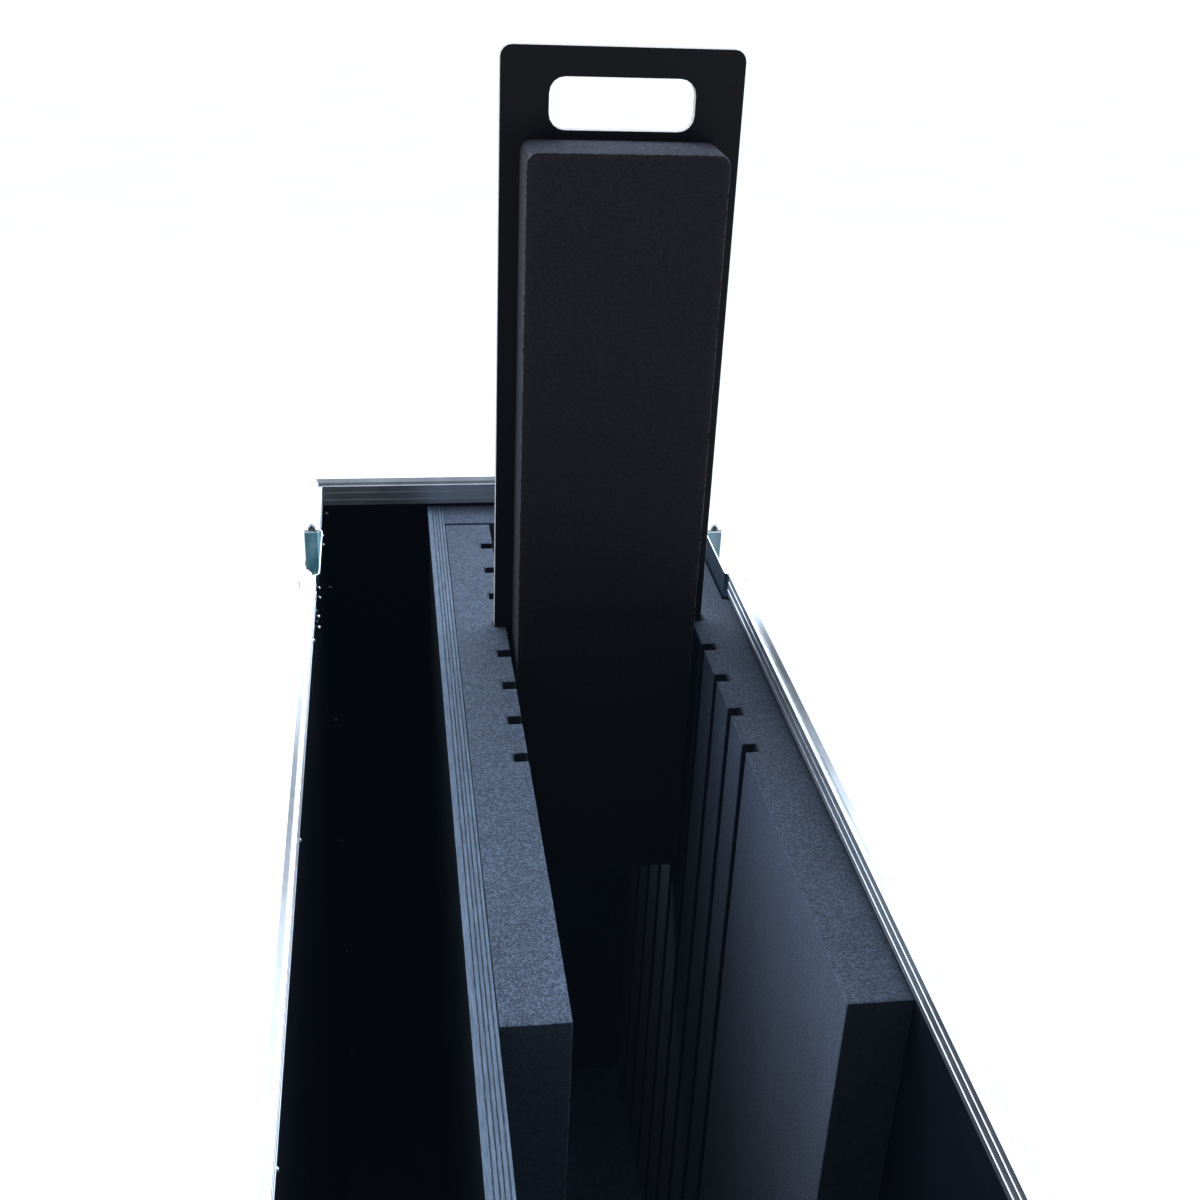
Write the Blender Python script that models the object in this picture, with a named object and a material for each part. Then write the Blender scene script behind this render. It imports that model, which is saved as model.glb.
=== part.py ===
"""Base of a flight case for flat screens, on castors, with its lid off.

Laminated plywood walls stand in aluminium edging. A plywood wall divides the inside into a narrow
accessory bay and a screen bay, which is lined with foam. Slots in the side foams take a lift-out
divider panel, which stands half raised.

Units are metres. X runs across the case, Y along it with the slotted end at +Y, and Z is up.
The origin is on the ground, under the middle of the case.
"""

import math

import bmesh
import bpy
from mathutils import Matrix, Vector

# Gap between pieces that touch, and how far a cutter runs past what it cuts
CLEARANCE = 0.0003
OVERRUN = 0.020

# Case body
INNER_LENGTH = 1.600
INNER_WIDTH = 0.425
WALL_THICKNESS = 0.010
FLOOR_THICKNESS = 0.010

# Bays and their lining
ACCESSORY_BAY_WIDTH = 0.121
BAY_WALL_THICKNESS = 0.018
LINING_DROP = 0.0273
LEFT_FOAM_THICKNESS = 0.050
RIGHT_FOAM_THICKNESS = 0.048
END_FOAM_THICKNESS = 0.050
FLOOR_FOAM_THICKNESS = 0.040
SIDE_FOAM_LENGTH = 0.795
SIDE_FOAM_GAP = 0.003
FOAM_POCKET_PLAY = 0.001

# Slots in the side foams
SLOT_COUNT = 8
SLOT_PITCH = 0.060
SLOT_WIDTH = 0.012
SLOT_DEPTH = 0.0125
FIRST_SLOT_INSET = 0.057

# Lift-out divider panel and its pad
PANEL_HEIGHT = 0.850
PANEL_SIDE_PLAY = 0.004
PANEL_FACE_PLAY = 0.002
PANEL_CORNER_RADIUS = 0.010
PANEL_SLOT_INDEX = 3
PANEL_LIFT = 0.544
HAND_HOLE_WIDTH = 0.125
HAND_HOLE_HEIGHT = 0.0432
HAND_HOLE_RADIUS = 0.0135
HAND_HOLE_DROP = 0.0246
PAD_THICKNESS = 0.060
PAD_LEFT_GAP = 0.005
PAD_RIGHT_GAP = 0.011
PAD_TOP_DROP = 0.075
PAD_BOTTOM_RISE = 0.047
PAD_CORNER_RADIUS = 0.010

# Rim extrusion, measured outwards and upwards from the inner edge of its ledge
RIM_SHEET = 0.0017
RIM_RIB = 0.0005
RIM_RIB_HEIGHT = 0.0012
RIM_RIB_DROPS = (0.008, 0.017)
RIM_INNER_LEG = 0.0235
RIM_OUTER_LEG = 0.030
TONGUE_INSET = 0.0038
TONGUE_WIDTH = 0.0084
TONGUE_HEIGHT = 0.0067
TONGUE_SHOULDER = 0.0030
TONGUE_TIP = 0.0015
TONGUE_WALL = 0.0012

# Edge angles and ball corners
ANGLE_LEG = 0.030
ANGLE_SHEET = 0.0015
CORNER_REACH = 0.045
CORNER_SHEET = 0.0015
CORNER_BALL_RADIUS = 0.014
CORNER_BALL_INSET = 0.008

# Recessed latch dishes and their keepers
LEFT_LATCH_INSET = 0.174
RIGHT_LATCH_INSET = 0.1945
DISH_SHEET = 0.0012
DISH_WIDTH = 0.110
DISH_HEIGHT = 0.068
DISH_STANDS_IN = 0.0037
DISH_RADIUS = 0.006
DISH_FLANGE_WIDTH = 0.138
DISH_FLANGE_HEIGHT = 0.080
RIVET_EDGE = 0.0065
RIVET_DROPS = (0.0435, 0.056)
RIVET_RADIUS = 0.002
RIVET_HEAD_RADIUS = 0.0042
RIVET_HEAD_HEIGHT = 0.0013
RIVET_TAIL_RADIUS = 0.003
RIVET_TAIL_HEIGHT = 0.0045
RIVET_END_SHARE = 2 / 3
KEEPER_WIDTH = 0.040
KEEPER_DROP = 0.030
KEEPER_HEIGHT = 0.020
KEEPER_REACH = 0.008
KEEPER_LIP = 0.004
KEEPER_SHEET = 0.0015

# Recessed handles in the end walls
HANDLE_HEIGHT_ABOVE_FLOOR = 0.560
HANDLE_FLANGE_WIDTH = 0.164
HANDLE_FLANGE_HEIGHT = 0.110
HANDLE_PAN_WIDTH = 0.128
HANDLE_PAN_HEIGHT = 0.078
HANDLE_PAN_DEPTH = 0.019
HANDLE_SHEET = 0.0012
HANDLE_RADIUS = 0.006
BAIL_ROD_RADIUS = 0.004
BAIL_GRIP_RADIUS = 0.007
BAIL_GRIP_EDGE = 0.0018
BAIL_GRIP_LENGTH = 0.086
BAIL_DROP = 0.046
BAIL_BEND_RADIUS = 0.012
BAIL_AXIS_DROP = 0.013

# Castors
CASTOR_BOARD_THICKNESS = 0.018
CASTOR_BOARD_LENGTH = 0.180
CASTOR_BOARD_EDGE = 0.004
CASTOR_HEIGHT = 0.125
CASTOR_INSET = 0.062
PLATE_WIDTH = 0.085
PLATE_LENGTH = 0.105
PLATE_SHEET = 0.003
PLATE_RADIUS = 0.008
BOLT_HEAD_RADIUS = 0.0065
BOLT_HEAD_HEIGHT = 0.005
BOLT_EDGE = 0.012
RACE_RADIUS = 0.029
RACE_HEIGHT = 0.008
RACE_EDGE = 0.002
RACE_GAP = 0.0005
FORK_SHEET = 0.003
FORK_CROWN_RADIUS = 0.026
FORK_LEG_TOP_WIDTH = 0.040
FORK_BOSS_RADIUS = 0.012
CASTOR_TRAIL = 0.034
WHEEL_RADIUS = 0.050
WHEEL_WIDTH = 0.032
WHEEL_EDGE = 0.004
WHEEL_SIDE_GAP = 0.003
WHEEL_HUB_RADIUS = 0.014
WHEEL_WEB_RADIUS = 0.036
WHEEL_WEB_RECESS = 0.005
HUB_GAP = 0.0005
AXLE_RADIUS = 0.005
AXLE_NUT_RADIUS = 0.008
AXLE_NUT_HEIGHT = 0.005

# Sides of the round shapes
ARC_STEPS = 4
RIVET_SIDES = 8
ROD_SIDES = 10
BOLT_SIDES = 6
RACE_SIDES = 24
WHEEL_SIDES = 36
BALL_SIDES = 14
BALL_RINGS = 8
CORNER_SIDES = 24
SMOOTH_ANGLE = math.radians(35)

# How far a normal leans along a direction that its face counts as facing, and a merge distance
FACING_SHARE = 0.9
MERGE_SHARE = 0.01

# Plan of the case, worked out from the sizes above
OUTER_WIDTH = INNER_WIDTH + 2 * WALL_THICKNESS
OUTER_LENGTH = INNER_LENGTH + 2 * WALL_THICKNESS
INNER_DEPTH = LINING_DROP + PANEL_HEIGHT + FLOOR_FOAM_THICKNESS + 2 * CLEARANCE
RIM_PROUD = RIM_RIB + RIM_SHEET + CLEARANCE
BAY_WALL_LEFT = -INNER_WIDTH / 2 + ACCESSORY_BAY_WIDTH
BAY_WALL_RIGHT = BAY_WALL_LEFT + BAY_WALL_THICKNESS
LEFT_FOAM_FACE = BAY_WALL_RIGHT + CLEARANCE + LEFT_FOAM_THICKNESS
RIGHT_FOAM_FACE = INNER_WIDTH / 2 - CLEARANCE - RIGHT_FOAM_THICKNESS
FAR_FOAM_FACE = INNER_LENGTH / 2 - CLEARANCE - END_FOAM_THICKNESS
SIDE_FOAM_FAR_END = FAR_FOAM_FACE - SIDE_FOAM_GAP
SIDE_FOAM_NEAR_END = SIDE_FOAM_FAR_END - SIDE_FOAM_LENGTH

# Heights, from the ground up
BOARD_BOTTOM = CASTOR_HEIGHT + CLEARANCE
BOARD_TOP = BOARD_BOTTOM + CASTOR_BOARD_THICKNESS
FLOOR_BOTTOM = BOARD_TOP + CLEARANCE
FLOOR_TOP = FLOOR_BOTTOM + FLOOR_THICKNESS
RIM_HEIGHT = FLOOR_TOP + INNER_DEPTH
LINING_TOP = RIM_HEIGHT - LINING_DROP
WALL_BOTTOM = FLOOR_TOP + CLEARANCE
WALL_TOP = RIM_HEIGHT - RIM_SHEET - CLEARANCE
ANGLE_BOTTOM = FLOOR_BOTTOM - CLEARANCE - ANGLE_SHEET
ANGLE_TOP = ANGLE_BOTTOM + ANGLE_LEG

# The divider panel fits the slots, and the pad fits between the foams
SLOT_FAR_CENTRE = SIDE_FOAM_FAR_END - FIRST_SLOT_INSET
PANEL_THICKNESS = SLOT_WIDTH - PANEL_FACE_PLAY
PANEL_LEFT = LEFT_FOAM_FACE - SLOT_DEPTH + CLEARANCE
PANEL_RIGHT = RIGHT_FOAM_FACE + SLOT_DEPTH + CLEARANCE - PANEL_SIDE_PLAY
PANEL_SLOT_CENTRE = SLOT_FAR_CENTRE - PANEL_SLOT_INDEX * SLOT_PITCH
PANEL_FRONT = PANEL_SLOT_CENTRE - SLOT_WIDTH / 2 + CLEARANCE
PANEL_TOP = LINING_TOP + PANEL_LIFT
PANEL_BOTTOM = PANEL_TOP - PANEL_HEIGHT

# Where the latch dish stands in the long walls
DISH_BACK = INNER_WIDTH / 2 - RIM_PROUD - DISH_STANDS_IN
DISH_FLANGE_INNER = OUTER_WIDTH / 2 + CLEARANCE + RIM_SHEET + CLEARANCE
DISH_FLANGE_OUTER = DISH_FLANGE_INNER + DISH_SHEET
LEFT_LATCH_PLACE = INNER_LENGTH / 2 - LEFT_LATCH_INSET
RIGHT_LATCH_PLACE = INNER_LENGTH / 2 - RIGHT_LATCH_INSET

# Where the handle dish and its bail stand in the end walls
HANDLE_CENTRE = FLOOR_TOP + HANDLE_HEIGHT_ABOVE_FLOOR
HANDLE_FLANGE_INNER = OUTER_LENGTH / 2 + CLEARANCE
HANDLE_FLANGE_OUTER = HANDLE_FLANGE_INNER + HANDLE_SHEET
HANDLE_BACK = HANDLE_FLANGE_OUTER - HANDLE_PAN_DEPTH
BAIL_AXIS_HEIGHT = HANDLE_CENTRE + HANDLE_PAN_HEIGHT / 2 - BAIL_AXIS_DROP
BAIL_AXIS_OUT = (HANDLE_BACK + HANDLE_SHEET + HANDLE_FLANGE_OUTER) / 2

# Where the castors stand
CASTOR_X = OUTER_WIDTH / 2 - CASTOR_INSET
CASTOR_Y = OUTER_LENGTH / 2 - CASTOR_INSET - CASTOR_TRAIL
PLATE_BOTTOM = CASTOR_HEIGHT - PLATE_SHEET
CROWN_TOP = PLATE_BOTTOM - RACE_HEIGHT - RACE_GAP
LEG_INNER = WHEEL_WIDTH / 2 + WHEEL_SIDE_GAP

# Finishes: colour, roughness and metallic value
FINISHES = {
    "laminate": ((0.012, 0.012, 0.015), 0.42, 0.0),
    "plywood": ((0.130, 0.170, 0.240), 0.75, 0.0),
    "panel": ((0.022, 0.020, 0.022), 0.55, 0.0),
    "foam": ((0.060, 0.072, 0.098), 0.95, 0.0),
    "pad_foam": ((0.020, 0.020, 0.023), 0.95, 0.0),
    "anodised": ((0.780, 0.800, 0.830), 0.28, 1.0),
    "zinc": ((0.230, 0.420, 0.480), 0.32, 1.0),
    "castor_steel": ((0.520, 0.550, 0.580), 0.35, 1.0),
    "tread": ((0.035, 0.075, 0.160), 0.60, 0.0),
    "grip": ((0.020, 0.020, 0.022), 0.65, 0.0),
}


def clear_scene():
    """Removes whatever the scene holds."""
    for thing in list(bpy.data.objects):
        bpy.data.objects.remove(thing, do_unlink=True)


def material_of(name, finish):
    """A material of the piece's own, in one of the finishes."""
    colour, roughness, metallic = FINISHES[finish]
    material = bpy.data.materials.new(f"{name}_{finish}")
    material.use_nodes = True
    shader = material.node_tree.nodes["Principled BSDF"]
    shader.inputs["Base Color"].default_value = (*colour, 1.0)
    shader.inputs["Roughness"].default_value = roughness
    shader.inputs["Metallic"].default_value = metallic
    material.diffuse_color = (*colour, 1.0)
    return material


def object_of(name, shape, origin=(0, 0, 0), smooth=False):
    """An object made of a bmesh given in world places, with its own origin."""
    bmesh.ops.recalc_face_normals(shape, faces=shape.faces)
    bmesh.ops.translate(shape, verts=shape.verts, vec=-Vector(origin))
    mesh = bpy.data.meshes.new(name)
    shape.to_mesh(mesh)
    shape.free()
    if smooth:
        mesh.shade_smooth()
        mesh.set_sharp_from_angle(angle=SMOOTH_ANGLE)
    thing = bpy.data.objects.new(name, mesh)
    thing.location = origin
    bpy.context.scene.collection.objects.link(thing)
    return thing


def piece(name, shape, finish, origin=(0, 0, 0), smooth=False):
    """A sub-part of the case."""
    thing = object_of(name, shape, origin, smooth)
    thing.data.materials.append(material_of(name, finish))
    return thing


def tool(name, shape):
    """A helper shape for a Boolean, which isn't a sub-part."""
    thing = object_of(name, shape)
    thing.hide_render = True
    thing.display_type = "WIRE"
    return thing


def boolean(target, shape, operation):
    """Cuts a shape from the target, or joins it on."""
    helper = tool(f"{target.name}_{operation.lower()}_{len(target.modifiers)}", shape)
    modifier = target.modifiers.new(helper.name, "BOOLEAN")
    modifier.operation = operation
    modifier.solver = "EXACT"
    modifier.object = helper


def cut(target, shape):
    boolean(target, shape, "DIFFERENCE")


def join(target, shape):
    boolean(target, shape, "UNION")


def plane_at(origin, right, up):
    """A matrix whose X and Y are the right and up given, for outlines drawn in that plane."""
    right = Vector(right)
    up = Vector(up)
    matrix = Matrix((right, up, right.cross(up))).transposed().to_4x4()
    matrix.translation = Vector(origin)
    return matrix


def add_box(shape, low, high):
    """A box between two corners."""
    low = Vector(low)
    high = Vector(high)
    size = Matrix.Diagonal((*(high - low), 1.0))
    place = Matrix.Translation((low + high) / 2)
    return bmesh.ops.create_cube(shape, size=1.0, matrix=place @ size)["verts"]


def box(low, high):
    shape = bmesh.new()
    add_box(shape, low, high)
    return shape


def add_prism(shape, outline, plane, depth):
    """An outline drawn in a plane and drawn out along the plane's normal."""
    corners = [shape.verts.new(plane @ Vector((across, up, 0))) for across, up in outline]
    face = shape.faces.new(corners)
    drawn = bmesh.ops.extrude_face_region(shape, geom=[face], use_keep_orig=True)["geom"]
    moved = [item for item in drawn if isinstance(item, bmesh.types.BMVert)]
    bmesh.ops.translate(shape, verts=moved, vec=plane.to_3x3() @ Vector((0, 0, depth)))


def prism(outline, plane, depth):
    shape = bmesh.new()
    add_prism(shape, outline, plane, depth)
    return shape


def arc(centre, radius, start, end, steps=ARC_STEPS):
    """Points along an arc, with angles in degrees."""
    points = []
    for step in range(steps + 1):
        angle = math.radians(start + (end - start) * step / steps)
        points.append((centre[0] + radius * math.cos(angle), centre[1] + radius * math.sin(angle)))
    return points


def rounded_outline(left, bottom, right, top, radius):
    """A rectangle with four round corners."""
    points = arc((right - radius, top - radius), radius, 0, 90)
    points += arc((left + radius, top - radius), radius, 90, 180)
    points += arc((left + radius, bottom + radius), radius, 180, 270)
    points += arc((right - radius, bottom + radius), radius, 270, 360)
    return points


def add_turned(shape, profile, place, sides):
    """A profile of radius and height turned round the Z of place. A closed profile leaves a bore."""
    rings = []
    for radius, height in profile:
        if radius == 0:
            rings.append([shape.verts.new(place @ Vector((0, 0, height)))])
            continue
        ring = []
        for side in range(sides):
            angle = math.tau * side / sides
            ring.append(
                shape.verts.new(
                    place @ Vector((radius * math.cos(angle), radius * math.sin(angle), height))
                )
            )
        rings.append(ring)
    bored = len(rings[0]) > 1
    pairs = list(zip(rings, rings[1:]))
    if bored:
        pairs.append((rings[-1], rings[0]))
    for lower, upper in pairs:
        for side in range(sides):
            after = (side + 1) % sides
            if len(lower) == 1:
                shape.faces.new((lower[0], upper[side], upper[after]))
            elif len(upper) == 1:
                shape.faces.new((lower[side], upper[0], lower[after]))
            else:
                shape.faces.new((lower[side], upper[side], upper[after], lower[after]))


def turned(profile, place, sides):
    shape = bmesh.new()
    add_turned(shape, profile, place, sides)
    return shape


def rod_profile(radius, low, high):
    """A plain cylinder as a profile to turn."""
    return [(0, low), (radius, low), (radius, high), (0, high)]


def along_x(origin):
    """A place whose Z runs along +X."""
    return Matrix.Translation(origin) @ Matrix.Rotation(math.radians(90), 4, "Y")


def bevelled_block(low, high, radius, kept_face):
    """A box whose edges are rounded, but for those round the faces that kept_face picks."""
    shape = box(low, high)
    edges = [edge for edge in shape.edges if not any(kept_face(face) for face in edge.link_faces)]
    bmesh.ops.bevel(shape, geom=edges, offset=radius, segments=ARC_STEPS - 1, affect="EDGES", profile=0.5)
    return shape


def latch_place(side):
    """How far the middles of a long wall's latch dishes are from the middle of the case."""
    return LEFT_LATCH_PLACE if side == "left" else RIGHT_LATCH_PLACE


def latch_y_places(side):
    """The middles of the latch dishes along a long wall, with the word for each end."""
    return (("far", latch_place(side)), ("near", -latch_place(side)))


def side_sign(side):
    return -1 if side == "left" else 1


def end_sign(end):
    return 1 if end == "far" else -1


def make_floor():
    half_width = OUTER_WIDTH / 2
    half_length = OUTER_LENGTH / 2
    piece(
        "floor_panel",
        box((-half_width, -half_length, FLOOR_BOTTOM), (half_width, half_length, FLOOR_TOP)),
        "laminate",
    )


def rivet_places(latch_y):
    """The rivets of one latch dish, as places along the wall and heights."""
    places = []
    for direction in (-1, 1):
        for drop in RIVET_DROPS:
            across = latch_y + direction * (DISH_FLANGE_WIDTH / 2 - RIVET_EDGE)
            places.append((across, RIM_HEIGHT - drop))
    return places


def make_long_wall(side):
    """A long wall, notched for its two latch dishes and bored for their rivets."""
    sign = side_sign(side)
    half_length = OUTER_LENGTH / 2
    notch = DISH_WIDTH / 2 + CLEARANCE
    notch_bottom = RIM_HEIGHT - DISH_HEIGHT - CLEARANCE
    outline = [(-half_length, WALL_BOTTOM), (half_length, WALL_BOTTOM), (half_length, WALL_TOP)]
    for _, latch_y in latch_y_places(side):
        outline += [
            (latch_y + notch, WALL_TOP),
            (latch_y + notch, notch_bottom),
            (latch_y - notch, notch_bottom),
            (latch_y - notch, WALL_TOP),
        ]
    outline.append((-half_length, WALL_TOP))
    inner = sign * INNER_WIDTH / 2
    outer = sign * OUTER_WIDTH / 2
    plane = plane_at((min(inner, outer), 0, 0), (0, 1, 0), (0, 0, 1))
    wall = piece(f"{side}_wall", prism(outline, plane, WALL_THICKNESS), "laminate")
    bores = bmesh.new()
    for _, latch_y in latch_y_places(side):
        for along, height in rivet_places(latch_y):
            place = along_x((min(inner, outer), along, height))
            profile = rod_profile(RIVET_RADIUS + CLEARANCE, -OVERRUN, WALL_THICKNESS + OVERRUN)
            add_turned(bores, profile, place, RIVET_SIDES)
    cut(wall, bores)


def make_end_wall(end):
    """A short wall, with the opening for its handle dish."""
    sign = end_sign(end)
    half_width = INNER_WIDTH / 2 - CLEARANCE
    inner = sign * INNER_LENGTH / 2
    outer = sign * OUTER_LENGTH / 2
    wall = piece(
        f"{end}_wall",
        box(
            (-half_width, min(inner, outer), WALL_BOTTOM),
            (half_width, max(inner, outer), WALL_TOP),
        ),
        "laminate",
    )
    opening_half = HANDLE_PAN_WIDTH / 2 + CLEARANCE
    opening_rise = HANDLE_PAN_HEIGHT / 2 + CLEARANCE
    cut(
        wall,
        box(
            (-opening_half, min(inner, outer) - OVERRUN, HANDLE_CENTRE - opening_rise),
            (opening_half, max(inner, outer) + OVERRUN, HANDLE_CENTRE + opening_rise),
        ),
    )


def rim_profile():
    """The section of the rim extrusion, outwards and upwards from its ledge's inner edge."""
    channel = RIM_RIB + RIM_SHEET
    outer_leg = channel + CLEARANCE + WALL_THICKNESS + CLEARANCE
    width = outer_leg + RIM_SHEET
    tongue_end = TONGUE_INSET + TONGUE_WIDTH
    tongue_middle = TONGUE_INSET + TONGUE_WIDTH / 2
    points = [(0, 0), (0, -RIM_RIB_HEIGHT), (RIM_RIB, -RIM_RIB_HEIGHT)]
    for drop in RIM_RIB_DROPS:
        points += [
            (RIM_RIB, -drop),
            (0, -drop),
            (0, -drop - RIM_RIB_HEIGHT),
            (RIM_RIB, -drop - RIM_RIB_HEIGHT),
        ]
    points += [
        (RIM_RIB, -RIM_INNER_LEG),
        (channel, -RIM_INNER_LEG),
        (channel, -RIM_SHEET),
        (outer_leg, -RIM_SHEET),
        (outer_leg, -RIM_OUTER_LEG),
        (width, -RIM_OUTER_LEG),
        (width, 0),
        (tongue_end, 0),
        (tongue_end, TONGUE_SHOULDER),
        (tongue_middle + TONGUE_TIP / 2, TONGUE_HEIGHT),
        (tongue_middle - TONGUE_TIP / 2, TONGUE_HEIGHT),
        (TONGUE_INSET, TONGUE_SHOULDER),
        (TONGUE_INSET, 0),
    ]
    return points


def tongue_hollow():
    """The three corners of the hollow along the tongue."""
    middle = TONGUE_INSET + TONGUE_WIDTH / 2
    half = TONGUE_WIDTH / 2 - TONGUE_WALL
    bottom = TONGUE_WALL / 2
    return [(middle - half, bottom), (middle + half, bottom), (middle, TONGUE_HEIGHT - 2 * TONGUE_WALL)]


def make_rail(name, start, along, outward, length, start_mitre, end_mitre):
    """One length of the rim. A mitre of 1 makes that end longer outwards, at 45 degrees."""
    start = Vector((*start, RIM_HEIGHT))
    along = Vector(along)
    outward = Vector(outward)
    upward = Vector((0, 0, 1))
    shape = bmesh.new()
    loops = []
    for mitre, distance, direction in ((start_mitre, 0, -1), (end_mitre, length, 1)):
        loop = []
        for across, height in rim_profile():
            reach = distance + direction * (across * mitre - CLEARANCE / 2)
            loop.append(shape.verts.new(start + along * reach + outward * across + upward * height))
        shape.faces.new(loop)
        loops.append(loop)
    first, last = loops
    for index in range(len(first)):
        after = (index + 1) % len(first)
        shape.faces.new((first[index], first[after], last[after], last[index]))
    rail = piece(name, shape, "anodised")
    hollow = bmesh.new()
    plane = Matrix((outward, upward, along)).transposed().to_4x4()
    plane.translation = start - along * OVERRUN
    add_prism(hollow, tongue_hollow(), plane, length + 2 * OVERRUN)
    cut(rail, hollow)


def make_rim():
    """The rim: mitred at the four corners and stopped at each latch dish."""
    edge_x = INNER_WIDTH / 2 - RIM_PROUD
    edge_y = INNER_LENGTH / 2 - RIM_PROUD
    stop = DISH_WIDTH / 2 + CLEARANCE
    for end in ("far", "near"):
        sign = end_sign(end)
        start = (-edge_x, sign * edge_y)
        make_rail(f"rim_{end}", start, (1, 0, 0), (0, sign, 0), 2 * edge_x, 1, 1)
    for side in ("left", "right"):
        sign = side_sign(side)
        x = sign * edge_x
        outward = (sign, 0, 0)
        place = latch_place(side)
        corner_length = edge_y - place - stop
        middle_length = 2 * (place - stop)
        near_start = (x, -edge_y)
        middle_start = (x, -place + stop)
        far_start = (x, place + stop)
        make_rail(f"rim_{side}_near", near_start, (0, 1, 0), outward, corner_length, 1, 0)
        make_rail(f"rim_{side}_middle", middle_start, (0, 1, 0), outward, middle_length, 0, 0)
        make_rail(f"rim_{side}_far", far_start, (0, 1, 0), outward, corner_length, 0, 1)


def angle_outline(leg):
    """An L with its corner at zero and its legs along both axes."""
    return [
        (0, 0),
        (leg, 0),
        (leg, ANGLE_SHEET),
        (ANGLE_SHEET, ANGLE_SHEET),
        (ANGLE_SHEET, leg),
        (0, leg),
    ]


def make_corner_angles():
    """The four upright angles, between the rim's outer leg and the bottom angles."""
    bottom = ANGLE_TOP + CLEARANCE
    top = RIM_HEIGHT - RIM_OUTER_LEG - CLEARANCE
    out = CLEARANCE + ANGLE_SHEET
    for end in ("far", "near"):
        for side in ("left", "right"):
            x_sign = side_sign(side)
            y_sign = end_sign(end)
            corner = (x_sign * (OUTER_WIDTH / 2 + out), y_sign * (OUTER_LENGTH / 2 + out), bottom)
            outline = [(-x_sign * a, -y_sign * b) for a, b in angle_outline(ANGLE_LEG)]
            plane = plane_at(corner, (1, 0, 0), (0, 1, 0))
            piece(f"corner_angle_{end}_{side}", prism(outline, plane, top - bottom), "anodised")


def make_bottom_angles():
    """The four angles under the walls. The short ones stop at the long ones' flat legs."""
    out = CLEARANCE + ANGLE_SHEET
    for side in ("left", "right"):
        sign = side_sign(side)
        half_length = OUTER_LENGTH / 2
        corner = (sign * (OUTER_WIDTH / 2 + out), half_length, ANGLE_BOTTOM)
        outline = [(-sign * a, b) for a, b in angle_outline(ANGLE_LEG)]
        plane = plane_at(corner, (1, 0, 0), (0, 0, 1))
        piece(f"bottom_angle_{side}", prism(outline, plane, 2 * half_length), "anodised")
    half_width = OUTER_WIDTH / 2 + out - ANGLE_LEG - CLEARANCE
    for end in ("far", "near"):
        sign = end_sign(end)
        corner = (-half_width, sign * (OUTER_LENGTH / 2 + out), ANGLE_BOTTOM)
        outline = [(-sign * a, b) for a, b in angle_outline(ANGLE_LEG)]
        plane = plane_at(corner, (0, 1, 0), (0, 0, 1))
        piece(f"bottom_angle_{end}", prism(outline, plane, 2 * half_width), "anodised")


def ball_at(centre, radius, sides, rings):
    shape = bmesh.new()
    place = Matrix.Translation(centre)
    bmesh.ops.create_uvsphere(shape, u_segments=sides, v_segments=rings, radius=radius, matrix=place)
    return shape


def box_from(corner, inwards, reach):
    """A box from a corner inwards, for any of the case's corners."""
    beyond = corner + inwards * reach
    low = [min(a, b) for a, b in zip(corner, beyond)]
    high = [max(a, b) for a, b in zip(corner, beyond)]
    return box(low, high)


def make_ball_corners():
    """Pressed corners over the ends of the angles: three quarter discs and a ball."""
    face = CLEARANCE + ANGLE_SHEET + CLEARANCE + CORNER_SHEET
    bottom_face = ANGLE_BOTTOM - CLEARANCE - CORNER_SHEET
    for end in ("far", "near"):
        for side in ("left", "right"):
            x_sign = side_sign(side)
            y_sign = end_sign(end)
            x = x_sign * (OUTER_WIDTH / 2 + face)
            y = y_sign * (OUTER_LENGTH / 2 + face)
            tip = Vector((x, y, bottom_face))
            inwards = Vector((-x_sign, -y_sign, 1))
            shape = box_from(tip, inwards, CORNER_REACH + OVERRUN)
            corner = piece(f"ball_corner_{end}_{side}", shape, "zinc", smooth=True)
            middle = tip + inwards * CORNER_SHEET / 2
            round_edge = ball_at(middle, CORNER_REACH, CORNER_SIDES, CORNER_SIDES // 2)
            boolean(corner, round_edge, "INTERSECT")
            knob = tip + inwards * CORNER_BALL_INSET
            join(corner, ball_at(knob, CORNER_BALL_RADIUS, BALL_SIDES, BALL_RINGS))
            hollow = tip + inwards * CORNER_SHEET
            cut(corner, box_from(hollow, inwards, CORNER_REACH + 2 * OVERRUN))


def pan_pocket(sign):
    """The room that a handle's pan needs in what stands against its end wall."""
    half_width = HANDLE_PAN_WIDTH / 2 + FOAM_POCKET_PLAY
    rise = HANDLE_PAN_HEIGHT / 2 + FOAM_POCKET_PLAY
    face = sign * (HANDLE_BACK - FOAM_POCKET_PLAY)
    back = sign * (INNER_LENGTH / 2 + OVERRUN)
    return box(
        (-half_width, min(face, back), HANDLE_CENTRE - rise),
        (half_width, max(face, back), HANDLE_CENTRE + rise),
    )


def make_bay_wall():
    """The wall between the bays. In a narrower case the handles' pans reach its ends."""
    half_length = INNER_LENGTH / 2 - CLEARANCE
    wall = piece(
        "bay_wall",
        box(
            (BAY_WALL_LEFT, -half_length, FLOOR_TOP + CLEARANCE),
            (BAY_WALL_RIGHT, half_length, LINING_TOP),
        ),
        "plywood",
    )
    for end in ("far", "near"):
        cut(wall, pan_pocket(end_sign(end)))


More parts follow.
